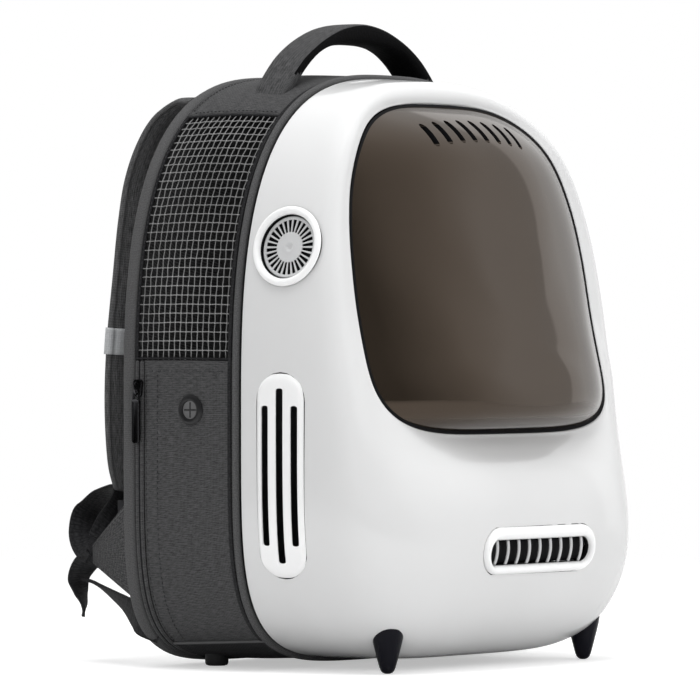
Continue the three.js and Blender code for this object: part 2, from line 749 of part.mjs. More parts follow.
// Everything inside the cloth's outer face, with a gap round it
function clothVolume() {
  const angles = evenAngles(0, 2 * Math.PI, evenShares(fineSteps)).slice(1);
  const depths = depthsBetween(0, clothBack, 2 * topSteps.deep);
  const rings = depths.map((y) => angles.map((angle) => clothPoint(angle, y, -gap)));
  const front = pole(angles.length, 0, 0, seamRing.widest);
  const back = pole(angles.length, 0, clothBack, seamRing.widest);
  return solidOf(ringGeometry([back, ...rings.toReversed(), front]));
}

// The handle and the rear feet end on the cloth
function handleGeometry() {
  const band = bandGeometry(handleRows, paddedSection, alongY, padSteps);
  return geometryOf(solidOf(band).subtract(clothVolume()));
}

function rearFootGeometry() {
  const button = turned(rearFootProfile, buttonSides).translate(-rearFoot.x, rearFoot.y, 0);
  return geometryOf(solidOf(button).subtract(clothVolume()));
}

function reflectorGeometry() {
  const places = [reflector.from, (reflector.from + reflector.to) / 2, reflector.to];
  const layer = (grow) => places.map((place) => bandRing(strapRows, paddedSection, alongX, place, grow));
  return ringGeometry([...layer(gap + reflector.thick), ...layer(gap).toReversed()], true);
}

function buckleGeometry() {
  const body = new THREE.Shape();
  const halfWidth = buckle.width / 2;
  const halfHeight = buckle.height / 2;
  body.moveTo(-halfWidth, -halfHeight).lineTo(halfWidth, -halfHeight);
  body.lineTo(halfWidth, halfHeight).lineTo(-halfWidth, halfHeight).closePath();
  for (const side of [-1, 1]) {
    const middle = (side * buckle.height) / 4;
    const slot = new THREE.Path();
    slot.moveTo(-buckle.slot / 2, middle - buckle.slotHeight / 2);
    slot.lineTo(-buckle.slot / 2, middle + buckle.slotHeight / 2);
    slot.lineTo(buckle.slot / 2, middle + buckle.slotHeight / 2);
    slot.lineTo(buckle.slot / 2, middle - buckle.slotHeight / 2);
    body.holes.push(slot.closePath());
  }
  return extruded(body, buckle.thick).rotateX(Math.PI / 2).translate(buckle.x, buckle.y, buckle.z);
}

function tabGeometry() {
  const length = Math.hypot(tab.apexX - tab.x, tab.apexY - tab.y);
  const shape = new THREE.Shape();
  shape.moveTo(0, tab.bottom).lineTo(length, tab.apex - tabApexHeight / 2);
  shape.lineTo(length, tab.apex + tabApexHeight / 2).lineTo(0, tab.top).closePath();
  const turn = Math.atan2(tab.apexY - tab.y, tab.apexX - tab.x);
  const geometry = extruded(shape, tab.thick).rotateX(Math.PI / 2).rotateZ(turn);
  return geometry.translate(tab.x, tab.y, 0);
}

// The carrier

const carrier = new THREE.Group();

function piece(name, geometry, material) {
  const mesh = new THREE.Mesh(geometry, material);
  mesh.name = name;
  carrier.add(mesh);
}

function pair(name, geometry, material) {
  piece(`${name}_left`, geometry, material);
  piece(`${name}_right`, mirrored(geometry.index ? geometry : mergeVertices(geometry)), material);
}

piece("shell", shellGeometry(), whitePlastic);
piece("window", windowGeometry(), smokedPlastic);
pair("fan_ring", fanRingGeometry(), whitePlastic);
pair("fan_grille", fanGrilleGeometry(), greyPlastic);
pair("side_vent", sideVentGeometry(), whitePlastic);
piece("grille_frame", grilleFrameGeometry(), whitePlastic);
piece("grille_louvre", grilleLouvreGeometry(), darkPlastic);
pair("foot_front", frontFootGeometry(), blackGloss);
piece("piping_front", pipingGeometry(), darkCloth);
piece("cloth_top", clothTopGeometry(), charcoalCloth);
pair("cloth_side", clothSideGeometry(), charcoalCloth);
piece("cloth_base", clothBaseGeometry(), darkCloth);
pair("mesh", meshGeometry(), netThread);
piece("zip_tape", zipTapeGeometry(), darkCloth);
piece("zip_slider", zipSliderGeometry(), darkMetal);
piece("zip_pull", zipPullGeometry(), darkMetal);
piece("grommet", grommetGeometry(), blackRubber);
piece("back_panel", backPanelGeometry(), darkCloth);
pair("foot_rear", rearFootGeometry(), blackRubber);
piece("handle", handleGeometry(), charcoalCloth);
pair("strap", bandGeometry(strapRows, paddedSection, alongX, padSteps), darkCloth);
pair("reflector", reflectorGeometry(), reflectiveTape);
pair("buckle", buckleGeometry(), darkPlastic);
pair("webbing", bandGeometry(webbingRows, flatSection, alongX, webbingSteps), webbingCloth);
pair("tab", tabGeometry(), darkCloth);
pair("tail", bandGeometry(tailRows, flatSection, alongX, webbingSteps), webbingCloth);

// The origin is under the middle of the whole depth, so the seam lies a little behind it
const box = new THREE.Box3().setFromObject(carrier);
carrier.position.y = -(box.min.y + box.max.y) / 2;

export default carrier;
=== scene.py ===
import json
import math

import bmesh
import bpy
from mathutils import Matrix, Vector, noise
from mathutils.bvhtree import BVHTree


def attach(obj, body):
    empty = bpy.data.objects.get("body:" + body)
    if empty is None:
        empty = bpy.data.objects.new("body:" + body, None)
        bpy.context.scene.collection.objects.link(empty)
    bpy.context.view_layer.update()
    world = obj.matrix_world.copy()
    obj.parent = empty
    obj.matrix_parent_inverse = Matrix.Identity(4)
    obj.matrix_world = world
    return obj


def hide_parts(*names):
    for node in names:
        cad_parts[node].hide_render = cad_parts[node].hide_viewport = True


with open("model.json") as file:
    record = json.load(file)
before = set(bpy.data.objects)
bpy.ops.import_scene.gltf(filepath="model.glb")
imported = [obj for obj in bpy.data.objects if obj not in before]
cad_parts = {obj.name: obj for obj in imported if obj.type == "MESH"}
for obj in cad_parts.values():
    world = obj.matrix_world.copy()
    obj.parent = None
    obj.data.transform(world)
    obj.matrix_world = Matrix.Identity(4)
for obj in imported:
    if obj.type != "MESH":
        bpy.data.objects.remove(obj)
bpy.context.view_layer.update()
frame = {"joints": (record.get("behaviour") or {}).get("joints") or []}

# Shapes are drawn in millimetres with y = 0 at the seam between shell and cloth, then moved into the frame
mm = 0.001
zipDepth = 87
pullPivot = Vector(frame["joints"][0]["pos_m"]) / mm
seamY = pullPivot.y - zipDepth
pullPivot.y = zipDepth
toFrame = Matrix.Scale(mm, 4) @ Matrix.Translation((0, seamY, 0))
print("frame loaded, seam at", round(seamY, 2), "mm")


# Small helpers for curves and meshes

def lerp(a, b, t):
    return a + (b - a) * t


def signedPower(value, power):
    return math.copysign(abs(value) ** power, value)


def catmull(p, q, r, s, t):
    flat = (2 * p - 5 * q + 4 * r - s) * t * t
    return 0.5 * (2 * q + (r - p) * t + flat + (3 * q - p - 3 * r + s) * t ** 3)


def tableAt(rows, place):  # smooth values part of the way down a table
    last = len(rows) - 1
    i = min(int(place * last), last - 1)
    a, b = rows[i], rows[i + 1]
    before = rows[i - 1] if i else [2 * p - q for p, q in zip(a, b)]
    after = rows[i + 2] if i + 2 <= last else [2 * q - p for p, q in zip(a, b)]
    return [catmull(*four, place * last - i) for four in zip(before, a, b, after)]


def curveAt(points, x):  # smooth height over points that aren't evenly spaced
    last = len(points) - 1

    def slope(k):
        (x0, y0), (x1, y1) = points[max(k - 1, 0)], points[min(k + 1, last)]
        return (y1 - y0) / (x1 - x0)

    i = max((k for k in range(last) if points[k][0] <= x), default=0)
    (x0, y0), (x1, y1) = points[i], points[i + 1]
    span = x1 - x0
    t = (x - x0) / span
    ease = t * t * (3 - 2 * t)
    rise = slope(i) * t * (1 - t) ** 2 - slope(i + 1) * t * t * (1 - t)
    return lerp(y0, y1, ease) + span * rise


def shares(count):
    return [i / count for i in range(count + 1)]


# A flat grid bent to place(u, v), with its UV map in metres
def shapedGrid(columns, rows, place, size=(1, 1), wrap=False, keep=None, sewn=None):
    bm = bmesh.new()
    uv = bm.loops.layers.uv.new("UVMap")
    bmesh.ops.create_grid(bm, x_segments=columns, y_segments=rows, size=0.5, calc_uvs=True)
    if keep:
        middles = [(face, face.calc_center_median()) for face in bm.faces]
        cut = [face for face, at in middles if not keep((at.x + 0.5) * columns, (at.y + 0.5) * rows)]
        bmesh.ops.delete(bm, geom=cut, context="FACES")
    seams = bm.verts.layers.float.new("sewn") if sewn else None
    for vert in bm.verts:
        u, v = vert.co.x + 0.5, vert.co.y + 0.5
        vert.co = place(u, v)
        if sewn:
            vert[seams] = sewn(u, v)
    for face in bm.faces:
        for loop in face.loops:
            loop[uv].uv.x *= size[0] * mm
            loop[uv].uv.y *= size[1] * mm
    if wrap:
        bmesh.ops.remove_doubles(bm, verts=bm.verts, dist=0.001)
    return bm


def spunProfile(profile, steps):  # radius and height pairs turned round Z
    bm = bmesh.new()
    verts = [bm.verts.new((radius, 0, height)) for radius, height in profile]
    edges = [bm.edges.new(pair) for pair in zip(verts, verts[1:])]
    bmesh.ops.spin(bm, geom=verts + edges, cent=(0, 0, 0), axis=(0, 0, 1), angle=2 * math.pi,
                   steps=steps, use_merge=True)
    bmesh.ops.remove_doubles(bm, verts=bm.verts, dist=0.001)
    bmesh.ops.recalc_face_normals(bm, faces=bm.faces)
    return bm


def faceOut(bm, middle):  # turns a sheet so that its faces look away from a point
    bm.normal_update()
    lean = sum(face.normal.dot(face.calc_center_median() - middle) * face.calc_area() for face in bm.faces)
    if lean < 0:
        bmesh.ops.reverse_faces(bm, faces=bm.faces)
    return bm


def closeEnds(bm):
    openEdges = [edge for edge in bm.edges if edge.is_boundary]
    bmesh.ops.holes_fill(bm, edges=openEdges, sides=0)
    bmesh.ops.recalc_face_normals(bm, faces=bm.faces)
    return bm


def roundBar(points, radius, sides=10):  # a wire along a path, closed at its ends
    last = len(points) - 1

    def place(u, v):
        i = round(v * last)
        ahead = (points[min(i + 1, last)] - points[max(i - 1, 0)]).normalized()
        side = ahead.orthogonal() if abs(ahead.y) > 0.9 else ahead.cross(Vector((0, 1, 0)))
        side.normalize()
        turn = 2 * math.pi * u
        return points[i] + radius * (side * math.cos(turn) + ahead.cross(side) * math.sin(turn))

    return closeEnds(shapedGrid(sides, last, place, wrap=True))


def mirroredCopy(bm):
    other = bm.copy()
    bmesh.ops.scale(other, vec=(-1, 1, 1), verts=other.verts)
    bmesh.ops.reverse_faces(other, faces=other.faces)
    return other


def addTo(bm, other):  # joins one bmesh onto another
    mesh = bpy.data.meshes.new("part")
    other.to_mesh(mesh)
    other.free()
    bm.from_mesh(mesh)
    bpy.data.meshes.remove(mesh)
    return bm


def meshObject(bm, name, *materials):
    bmesh.ops.transform(bm, matrix=toFrame, verts=bm.verts)
    mesh = bpy.data.meshes.new(name)
    bm.to_mesh(mesh)
    bm.free()
    for material in materials:
        mesh.materials.append(material)
    mesh.polygons.foreach_set("use_smooth", [True] * len(mesh.polygons))
    obj = bpy.data.objects.new(name, mesh)
    bpy.context.scene.collection.objects.link(obj)
    return obj


def sharpen(obj, degrees=38):
    obj.data.set_sharp_from_angle(angle=math.radians(degrees))


def addModifier(obj, kind, **values):
    modifier = obj.modifiers.new(kind.title(), kind)
    for key, value in values.items():
        setattr(modifier, key, value)
    return modifier


def subdivide(obj, levels):
    addModifier(obj, "SUBSURF", levels=levels, render_levels=levels)


def applyModifiers(obj):
    evaluated = obj.evaluated_get(bpy.context.evaluated_depsgraph_get())
    mesh = bpy.data.meshes.new_from_object(evaluated)
    obj.modifiers.clear()
    obj.data = mesh


def cutWith(obj, *cutters):
    for cutter in cutters:
        addModifier(obj, "BOOLEAN", object=cutter, operation="DIFFERENCE", solver="EXACT")
    applyModifiers(obj)
    for cutter in cutters:
        bpy.data.objects.remove(cutter)


def dress(obj, slot, *nodes, body="carrier"):
    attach(obj, body)
    if nodes:
        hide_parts(*nodes)
    return obj


def makePair(bm, name, slot, *materials, replaced=True):  # drawn on the left, mirrored to the right
    made = []
    for side, shape in (("right", mirroredCopy(bm)), ("left", bm)):
        label = f"{name}_{side}"
        nodes = [label] if replaced else []
        made.append(dress(meshObject(shape, label, *materials), slot, *nodes))
    return made


# Finishes

def newMaterial(name, color, roughness, **sockets):
    material = bpy.data.materials.new(name)
    material.use_nodes = True
    shader = material.node_tree.nodes["Principled BSDF"]
    shader.inputs["Base Color"].default_value = (*color, 1)
    shader.inputs["Roughness"].default_value = roughness
    for key, value in sockets.items():
        shader.inputs[key].default_value = value
    return material


def addNode(material, kind, values=None, **settings):
    node = material.node_tree.nodes.new(kind)
    for key, value in settings.items():
        setattr(node, key, value)
    for key, value in (values or {}).items():
        node.inputs[key].default_value = value
    return node


def wire(material, fromNode, fromSocket, toNode, toSocket):
    material.node_tree.links.new(fromNode.outputs[fromSocket], toNode.inputs[toSocket])


def shaderOf(material):
    return material.node_tree.nodes["Principled BSDF"]


def setSocket(material, name, value):
    shaderOf(material).inputs[name].default_value = value


def tint(material, source, socket, low, high, ends=(0, 1)):  # colour from a pattern
    ramp = addNode(material, "ShaderNodeValToRGB")
    for element, color, place in zip(ramp.color_ramp.elements, (low, high), ends):
        element.color = (*color, 1)
        element.position = place
    wire(material, source, socket, ramp, "Fac")
    wire(material, ramp, "Color", shaderOf(material), "Base Color")


def relief(material, source, socket, strength, distance):  # bump from a pattern
    bump = addNode(material, "ShaderNodeBump", {"Strength": strength, "Distance": distance})
    wire(material, source, socket, bump, "Height")
    wire(material, bump, "Normal", shaderOf(material), "Normal")


def objectNoise(material, scale):
    coords = addNode(material, "ShaderNodeTexCoord")
    speckle = addNode(material, "ShaderNodeTexNoise", {"Scale": scale, "Detail": 2.0})
    wire(material, coords, "Object", speckle, "Vector")
    return speckle


plasticLook = {"patches": 9, "ends": (0.3, 0.7), "grainDepth": 0.0004}


def mouldedPlastic(name, low, high, roughness, grain=900, strength=0.03, **sockets):
    material = newMaterial(name, high, roughness, **sockets)
    tint(material, objectNoise(material, plasticLook["patches"]), "Fac", low, high, plasticLook["ends"])
    relief(material, objectNoise(material, grain), "Fac", strength, plasticLook["grainDepth"])
    return material


clothLook = {"roughness": 0.85, "wobble": 1.2, "weaveShare": 0.3, "ends": (0.38, 0.92), "depth": 0.5}


def wovenCloth(name, low, high, pitch, slub, strength=0.5):
    material = newMaterial(name, high, clothLook["roughness"])
    coords = addNode(material, "ShaderNodeUVMap", uv_map="UVMap")
    threads = []
    for direction in ("X", "Y"):
        values = {"Scale": math.pi / (10 * pitch), "Distortion": clothLook["wobble"]}
        wave = addNode(material, "ShaderNodeTexWave", values, bands_direction=direction)
        wire(material, coords, "UV", wave, "Vector")
        threads.append(wave)
    checks = addNode(material, "ShaderNodeTexChecker", {"Scale": 1 / pitch})
    wire(material, coords, "UV", checks, "Vector")
    weave = addNode(material, "ShaderNodeMix", data_type="FLOAT")
    wire(material, checks, "Fac", weave, "Factor")
    wire(material, threads[0], "Fac", weave, 2)
    wire(material, threads[1], "Fac", weave, 3)
    mapping = addNode(material, "ShaderNodeMapping", {"Scale": slub})
    slubs = addNode(material, "ShaderNodeTexNoise", {"Scale": 1.0, "Detail": 3.0, "Roughness": 0.65})
    wire(material, coords, "UV", mapping, "Vector")
    wire(material, mapping, "Vector", slubs, "Vector")
    yarn = addNode(material, "ShaderNodeMath", {1: clothLook["weaveShare"]}, operation="MULTIPLY_ADD")
    wire(material, weave, "Result", yarn, 0)
    wire(material, slubs, "Fac", yarn, 2)
    tint(material, yarn, "Value", low, high, clothLook["ends"])
    relief(material, yarn, "Value", strength, pitch * clothLook["depth"])
    return material


whiteGloss = mouldedPlastic("whiteGloss", (0.68, 0.682, 0.684), (0.71, 0.712, 0.714), 0.16, strength=0.012)
setSocket(whiteGloss, "Coat Weight", 0.4)
brightTrim = mouldedPlastic("brightTrim", (0.91, 0.912, 0.914), (0.94, 0.942, 0.944), 0.1, strength=0.01)
setSocket(brightTrim, "Coat Weight", 0.6)
# Near black: painted shade for the insides of shell and cloth, slot walls, recess walls and dark backs, where
# little light reaches
shadeBlack = mouldedPlastic("shadeBlack", (0.006, 0.006, 0.007), (0.011, 0.011, 0.012), 0.7)
setSocket(shadeBlack, "Specular IOR Level", 0.08)
greyPlastic = mouldedPlastic("greyPlastic", (0.5, 0.505, 0.51), (0.6, 0.605, 0.61), 0.28, 1400, 0.08)
darkPlastic = mouldedPlastic("darkPlastic", (0.012, 0.012, 0.014), (0.022, 0.022, 0.025), 0.38, 1200, 0.1)
blackGloss = mouldedPlastic("blackGloss", (0.003, 0.003, 0.006), (0.006, 0.006, 0.01), 0.1, 700, 0.02)
setSocket(blackGloss, "Specular IOR Level", 0.12)
blackRubber = mouldedPlastic("blackRubber", (0.008, 0.008, 0.009), (0.016, 0.016, 0.017), 0.5, 1500, 0.2)
darkMetal = mouldedPlastic("darkMetal", (0.05, 0.05, 0.054), (0.09, 0.09, 0.095), 0.26, 1600, 0.06,
                           Metallic=1.0)
paleRubber = mouldedPlastic("paleRubber", (0.09, 0.09, 0.092), (0.16, 0.16, 0.162), 0.6, 1500, 0.2)
smokedPlastic = mouldedPlastic("smokedPlastic", (0.028, 0.0214, 0.0157), (0.032, 0.0246, 0.0183), 0.05,
                               60, 0.004, IOR=1.6)
setSocket(smokedPlastic, "Transmission Weight", 0.15)
setSocket(smokedPlastic, "Specular Tint", (1, 0.78, 0.62, 1))
charcoalCloth = wovenCloth("charcoalCloth", (0.016, 0.016, 0.017), (0.088, 0.088, 0.09), 0.0012,
                           (1000, 190, 1))
darkCloth = wovenCloth("darkCloth", (0.003, 0.003, 0.004), (0.02, 0.02, 0.022), 0.0012, (1000, 190, 1))
netThread = mouldedPlastic("netThread", (0.12, 0.12, 0.12), (0.24, 0.24, 0.24), 0.7, 2500, 0.4)
# Paler knots: painted highlight where the threads cross
knotHighlight = mouldedPlastic("knotHighlight", (0.3, 0.3, 0.3), (0.5, 0.5, 0.5), 0.7, 2500, 0.4)
webbingCloth = wovenCloth("webbingCloth", (0.005, 0.005, 0.006), (0.026, 0.026, 0.028), 0.0022,
                          (300, 900, 1), 0.8)
coarseCloth = wovenCloth("coarseCloth", (0.004, 0.004, 0.005), (0.1, 0.1, 0.102), 0.0024, (420, 420, 1), 0.9)
pipingCloth = wovenCloth("pipingCloth", (0.035, 0.035, 0.036), (0.12, 0.12, 0.122), 0.0011, (900, 900, 1))
# Charcoal cloth painted lighter for the straps: painted light where the back panel shades their faces
strapLitCloth = wovenCloth("strapLitCloth", (0.024, 0.024, 0.025), (0.125, 0.125, 0.127), 0.0012, (1000, 190, 1))
handleDarkSide = wovenCloth("handleDarkSide", (0.001, 0.001, 0.0012), (0.007, 0.007, 0.0075), 0.0016,
                           (600, 600, 1))
setSocket(handleDarkSide, "Specular IOR Level", 0.1)
seamThread = mouldedPlastic("seamThread", (0.022, 0.022, 0.024), (0.04, 0.04, 0.042), 0.7, 2600, 0.3)
reflectiveTape = wovenCloth("reflectiveTape", (0.36, 0.37, 0.38), (0.5, 0.51, 0.52), 0.0016,
                            (500, 500, 1), 0.25)
setSocket(reflectiveTape, "Roughness", 0.4)
print("finishes made")


# Camera, light and floor

viewFrom = {"azimuth": 52.44, "elevation": 0.5, "distance": 4187, "lens": 312, "middle": 200,
            "aimRight": -28.7, "aimUp": 15.5}


def placeCamera(v):
    turn, lift = math.radians(v["azimuth"]), math.radians(v["elevation"])
    back = Vector((-math.sin(turn) * math.cos(lift), -math.cos(turn) * math.cos(lift), math.sin(lift)))
    right = Vector((math.cos(turn), -math.sin(turn), 0))
    middle = Vector((0, 0, v["middle"]))
    aim = middle + right * v["aimRight"] + back.cross(right) * v["aimUp"]
    camera = bpy.data.objects.new("photoView", bpy.data.cameras.new("photoView"))
    camera.data.lens = v["lens"]
    camera.data.clip_end = 100
    camera.location = toFrame @ (middle + back * v["distance"])
    camera.rotation_euler = (toFrame @ aim - camera.location).to_track_quat("-Z", "Y").to_euler()
    bpy.context.scene.collection.objects.link(camera)
    bpy.context.scene.camera = camera


placeCamera(viewFrom)

studio = {
    "world": 0.6, "background": 1.0,
    "floorColor": 0.74, "floorGlow": 0.45, "floorRadius": 3.0, "floorFade": (0.25, 0.62),
    "panelFacing": (-0.981, -0.173, -0.087),  # gloss sees a bright wall there, dimmer away from it
    "panel": [  # place and brightness
        (0, 0.45), (0.02, 0.6), (0.08, 0.72), (0.087, 0.46), (0.15, 0.57), (0.3, 0.5), (0.52, 0.24),
        (0.66, 0),
    ],
    "panelStrength": 1.8,
}
softboxes = [  # name, place and aim in metres, size, watts
    ("keyBox", (0.4, -2.6, 0.9), (0, 0, 0.2), 1.8, 21),
    ("topBox", (-0.3, -0.1, 2.6), (0, 0, 0.2), 1.8, 46),
    ("fillBox", (-2.4, -0.7, 1.0), (0, 0, 0.22), 1.4, 10),
    ("rimBox", (2.2, 0.4, 0.8), (0, -0.05, 0.25), 1.5, 3),
]


def lightStudio(s, boxes):
    world = bpy.data.worlds.new("studio")
    bpy.context.scene.world = world
    world.use_nodes = True
    nodes, links = world.node_tree.nodes, world.node_tree.links
    soft = nodes["Background"]
    soft.inputs["Strength"].default_value = s["world"]
    soft.inputs["Color"].default_value = (1, 1, 1, 1)
    seen = nodes.new("ShaderNodeBackground")
    seen.inputs["Strength"].default_value = s["background"]
    seen.inputs["Color"].default_value = (1, 1, 1, 1)
    coords = nodes.new("ShaderNodeTexCoord")
    facing = nodes.new("ShaderNodeVectorMath")
    facing.operation = "DOT_PRODUCT"
    facing.inputs[1].default_value = s["panelFacing"]
    share = nodes.new("ShaderNodeMapRange")
    share.inputs["From Min"].default_value = -1
    ramp = nodes.new("ShaderNodeValToRGB")
    while len(ramp.color_ramp.elements) < len(s["panel"]):
        ramp.color_ramp.elements.new(0.5)
    for element, (place, bright) in zip(ramp.color_ramp.elements, s["panel"]):
        element.position = place
        element.color = (bright, bright, bright, 1)
    gloss = nodes.new("ShaderNodeBackground")
    gloss.inputs["Strength"].default_value = s["panelStrength"]
    links.new(coords.outputs["Generated"], facing.inputs[0])
    links.new(facing.outputs["Value"], share.inputs["Value"])
    links.new(share.outputs["Result"], ramp.inputs["Fac"])
    links.new(ramp.outputs["Color"], gloss.inputs["Color"])
    path = nodes.new("ShaderNodeLightPath")
    last = soft
    for ray, shown in (("Is Glossy Ray", gloss), ("Is Camera Ray", seen)):
        mix = nodes.new("ShaderNodeMixShader")
        links.new(path.outputs[ray], mix.inputs[0])
        links.new(last.outputs[0], mix.inputs[1])
        links.new(shown.outputs[0], mix.inputs[2])
        last = mix
    links.new(last.outputs[0], nodes["World Output"].inputs["Surface"])
    for name, place, aim, size, watts in boxes:
        light = bpy.data.objects.new(name, bpy.data.lights.new(name, "AREA"))
        light.data.energy = watts
        light.data.size = size
        light.visible_glossy = False
        light.location = place
        light.rotation_euler = (Vector(aim) - Vector(place)).to_track_quat("-Z", "Y").to_euler()
        bpy.context.scene.collection.objects.link(light)
    bpy.context.scene.view_settings.view_transform = "Standard"


def layFloor(s):
    bm = bmesh.new()
    bmesh.ops.create_circle(bm, cap_ends=True, segments=96, radius=s["floorRadius"] / mm)
    material = newMaterial("paleFloor", (s["floorColor"],) * 3, 0.9)
    coords = addNode(material, "ShaderNodeTexCoord")
    mapping = addNode(material, "ShaderNodeMapping", {"Scale": (1 / s["floorRadius"],) * 3})
    ball = addNode(material, "ShaderNodeTexGradient", gradient_type="SPHERICAL")
    solid, gone = s["floorFade"]
    ramp = addNode(material, "ShaderNodeMapRange", {"From Min": 1 - gone, "From Max": 1 - solid})
    wire(material, coords, "Object", mapping, "Vector")
    wire(material, mapping, "Vector", ball, "Vector")
    wire(material, ball, "Fac", ramp, "Value")
    wire(material, ramp, "Result", shaderOf(material), "Alpha")
    path = addNode(material, "ShaderNodeLightPath")
    # A little glow keeps the shadow pale
    glow = addNode(material, "ShaderNodeMath", {1: s["floorGlow"]}, operation="MULTIPLY")
    setSocket(material, "Emission Color", (1, 1, 1, 1))
    wire(material, path, "Is Camera Ray", glow, 0)
    wire(material, glow, "Value", shaderOf(material), "Emission Strength")
    meshObject(bm, "floor", material)


lightStudio(studio, softboxes)
layFloor(studio)
print("camera, light and floor set")


# The body's outlines, seen from the front

seamRing = {"halfWidth": 165, "top": 402, "bottom": 6, "widest": 176, "topRound": 2.85, "baseRound": 4.55}
rimRing = {"halfWidth": 133, "top": 384, "bottom": 159, "widest": 225, "topRound": 3.15, "baseRound": 4.2}
rimHeights = [(159, 99), (195, 85.5), (236, 75), (277, 68), (319, 61), (355, 54), (384, 41)]  # height, reach


def ringParts(ring, up):
    if up >= 0:
        return ring["topRound"], ring["top"] - ring["widest"]
    return ring["baseRound"], ring["widest"] - ring["bottom"]


def ringPoint(ring, angle):
    power, reach = ringParts(ring, math.sin(angle))
    x = ring["halfWidth"] * signedPower(math.cos(angle), 2 / power)
    z = ring["widest"] + reach * signedPower(math.sin(angle), 2 / power)
    return x, z


def grown(ring, out):
    return {**ring, "halfWidth": ring["halfWidth"] + out,
            "top": ring["top"] + out, "bottom": ring["bottom"] - out}


def leftAngle(ring, height):
    power, reach = ringParts(ring, height - ring["widest"])
    rise = math.asin((abs(height - ring["widest"]) / reach) ** (power / 2))
    return math.pi - rise if height >= ring["widest"] else math.pi + rise


def arcAngles(ring, start, end, places):  # angles that share out the outline's length
    def polar(angle):
        x, z = ringPoint(ring, angle)
        plain = math.atan2(z - ring["widest"], x)
        return plain + 2 * math.pi * round((angle - plain) / (2 * math.pi))

    def at(turn):
        across, up = math.cos(turn), math.sin(turn)
        power, reach = ringParts(ring, up)
        far = (abs(across / ring["halfWidth"]) ** power + abs(up / reach) ** power) ** (-1 / power)
        cosine = signedPower(far * across / ring["halfWidth"], power / 2)
        sine = signedPower(far * up / reach, power / 2)
        return Vector((far * across, far * up)), math.atan2(sine, cosine)

    steps = 1500
    first, last = polar(start), polar(end)
    turns = [lerp(first, last, i / steps) for i in range(steps + 1)]
    spots = [at(turn)[0] for turn in turns]
    lengths = [0]
    for a, b in zip(spots, spots[1:]):
        lengths.append(lengths[-1] + (b - a).length)
    angles, i = [], 0
    for place in places:
        goal = place * lengths[-1]
        while i < steps - 1 and lengths[i + 1] < goal:
            i += 1
        part = (goal - lengths[i]) / (lengths[i + 1] - lengths[i])
        angles.append(at(lerp(turns[i], turns[i + 1], part))[1])
    return angles, lengths[-1]


def rimForward(height):
    return curveAt(rimHeights, min(max(height, rimHeights[0][0]), rimHeights[-1][0]))


# The white shell: a wall from the seam round to the window's rim

shellForm = {
    "columns": 216, "rows": 54, "thick": 3, "lip": 1.4, "chinFalloff": 4,
    "wall": [  # shares of the way inward and forward, at the sides and down the chin
        (0, 0, 0, 0), (0.02, 0.2, 0.001, 0.3), (0.04, 0.42, 0.006, 0.61), (0.07, 0.62, 0.032, 0.83),
        (0.12, 0.79, 0.11, 1.02), (0.2, 0.91, 0.26, 1.175), (0.31, 0.985, 0.47, 1.275),
        (0.45, 1.02, 0.69, 1.29), (0.62, 1.03, 0.84, 1.225), (0.82, 1.015, 0.93, 1.11), (1, 1, 1, 1),
    ],
    "brow": [  # the same over the window
        (0, 0), (0.03, 0.2), (0.07, 0.42), (0.13, 0.62), (0.22, 0.78), (0.34, 0.885), (0.47, 0.945),
        (0.6, 0.98), (0.74, 1), (0.87, 1.005), (1, 1),
    ],
    "browFalloff": 5, "lipRows": 5, "lipStep": 22.5, "lipTuck": 2,  # rows, degrees, depth of the last row
    "uvRise": 200, "inside": 200,
}


def shellPoint(share, angle):
    sideIn, sideForward, chinIn, chinForward = tableAt(shellForm["wall"], share)
    seam = ringPoint(seamRing, angle)
    rim = ringPoint(grown(rimRing, shellForm["lip"]), angle)
    chin = 1 - abs(math.cos(angle)) ** (2 / rimRing["baseRound"] * shellForm["chinFalloff"])
    chin = chin if math.sin(angle) < 0 else 0
    inward, forward = lerp(sideIn, chinIn, chin), lerp(sideForward, chinForward, chin)
    browIn, browForward = tableAt(shellForm["brow"], share)
    brow = max(math.sin(angle), 0) ** shellForm["browFalloff"]
    inward, forward = lerp(inward, browIn, brow), lerp(forward, browForward, brow)
    x, z = (lerp(a, b, inward) for a, b in zip(seam, rim))
    return Vector((x, -forward * rimForward(rim[1]), z))


def shellSurface(form):
    angles, length = arcAngles(seamRing, -math.pi / 2, 1.5 * math.pi, shares(form["columns"]))
    lipRows = form["lipRows"]
    wallShare = form["rows"] / (form["rows"] + lipRows)

    def place(u, v):
        angle = angles[round(u * form["columns"])]
        if v <= wallShare + 1e-6:
            return shellPoint(min(v / wallShare, 1), angle)
        step = round((v - wallShare) * (form["rows"] + lipRows))
        turn = math.radians(min(step, lipRows - 1) * form["lipStep"])
        x, z = ringPoint(grown(rimRing, form["lip"] * (1 - math.sin(turn))), angle)
        back = form["lip"] * (1 - math.cos(turn)) + (step == lipRows) * form["lipTuck"]
        return Vector((x, back - rimForward(z), z))

    return shapedGrid(form["columns"], form["rows"] + lipRows, place, (length, form["uvRise"]), wrap=True)


shellBm = faceOut(shellSurface(shellForm), Vector((0, 0, shellForm["inside"])))
shellTree = BVHTree.FromBMesh(shellBm)
farOff = 400  # rays onto the shell start this far out


def onLeftWall(y, z):
    spot, normal = shellTree.ray_cast(Vector((-farOff, y, z)), Vector((1, 0, 0)))[:2]
    return spot, normal if normal.x < 0 else -normal


def onFront(x, z):
    spot, normal = shellTree.ray_cast(Vector((x, -farOff, z)), Vector((0, 1, 0)))[:2]
    return spot, normal if normal.y < 0 else -normal


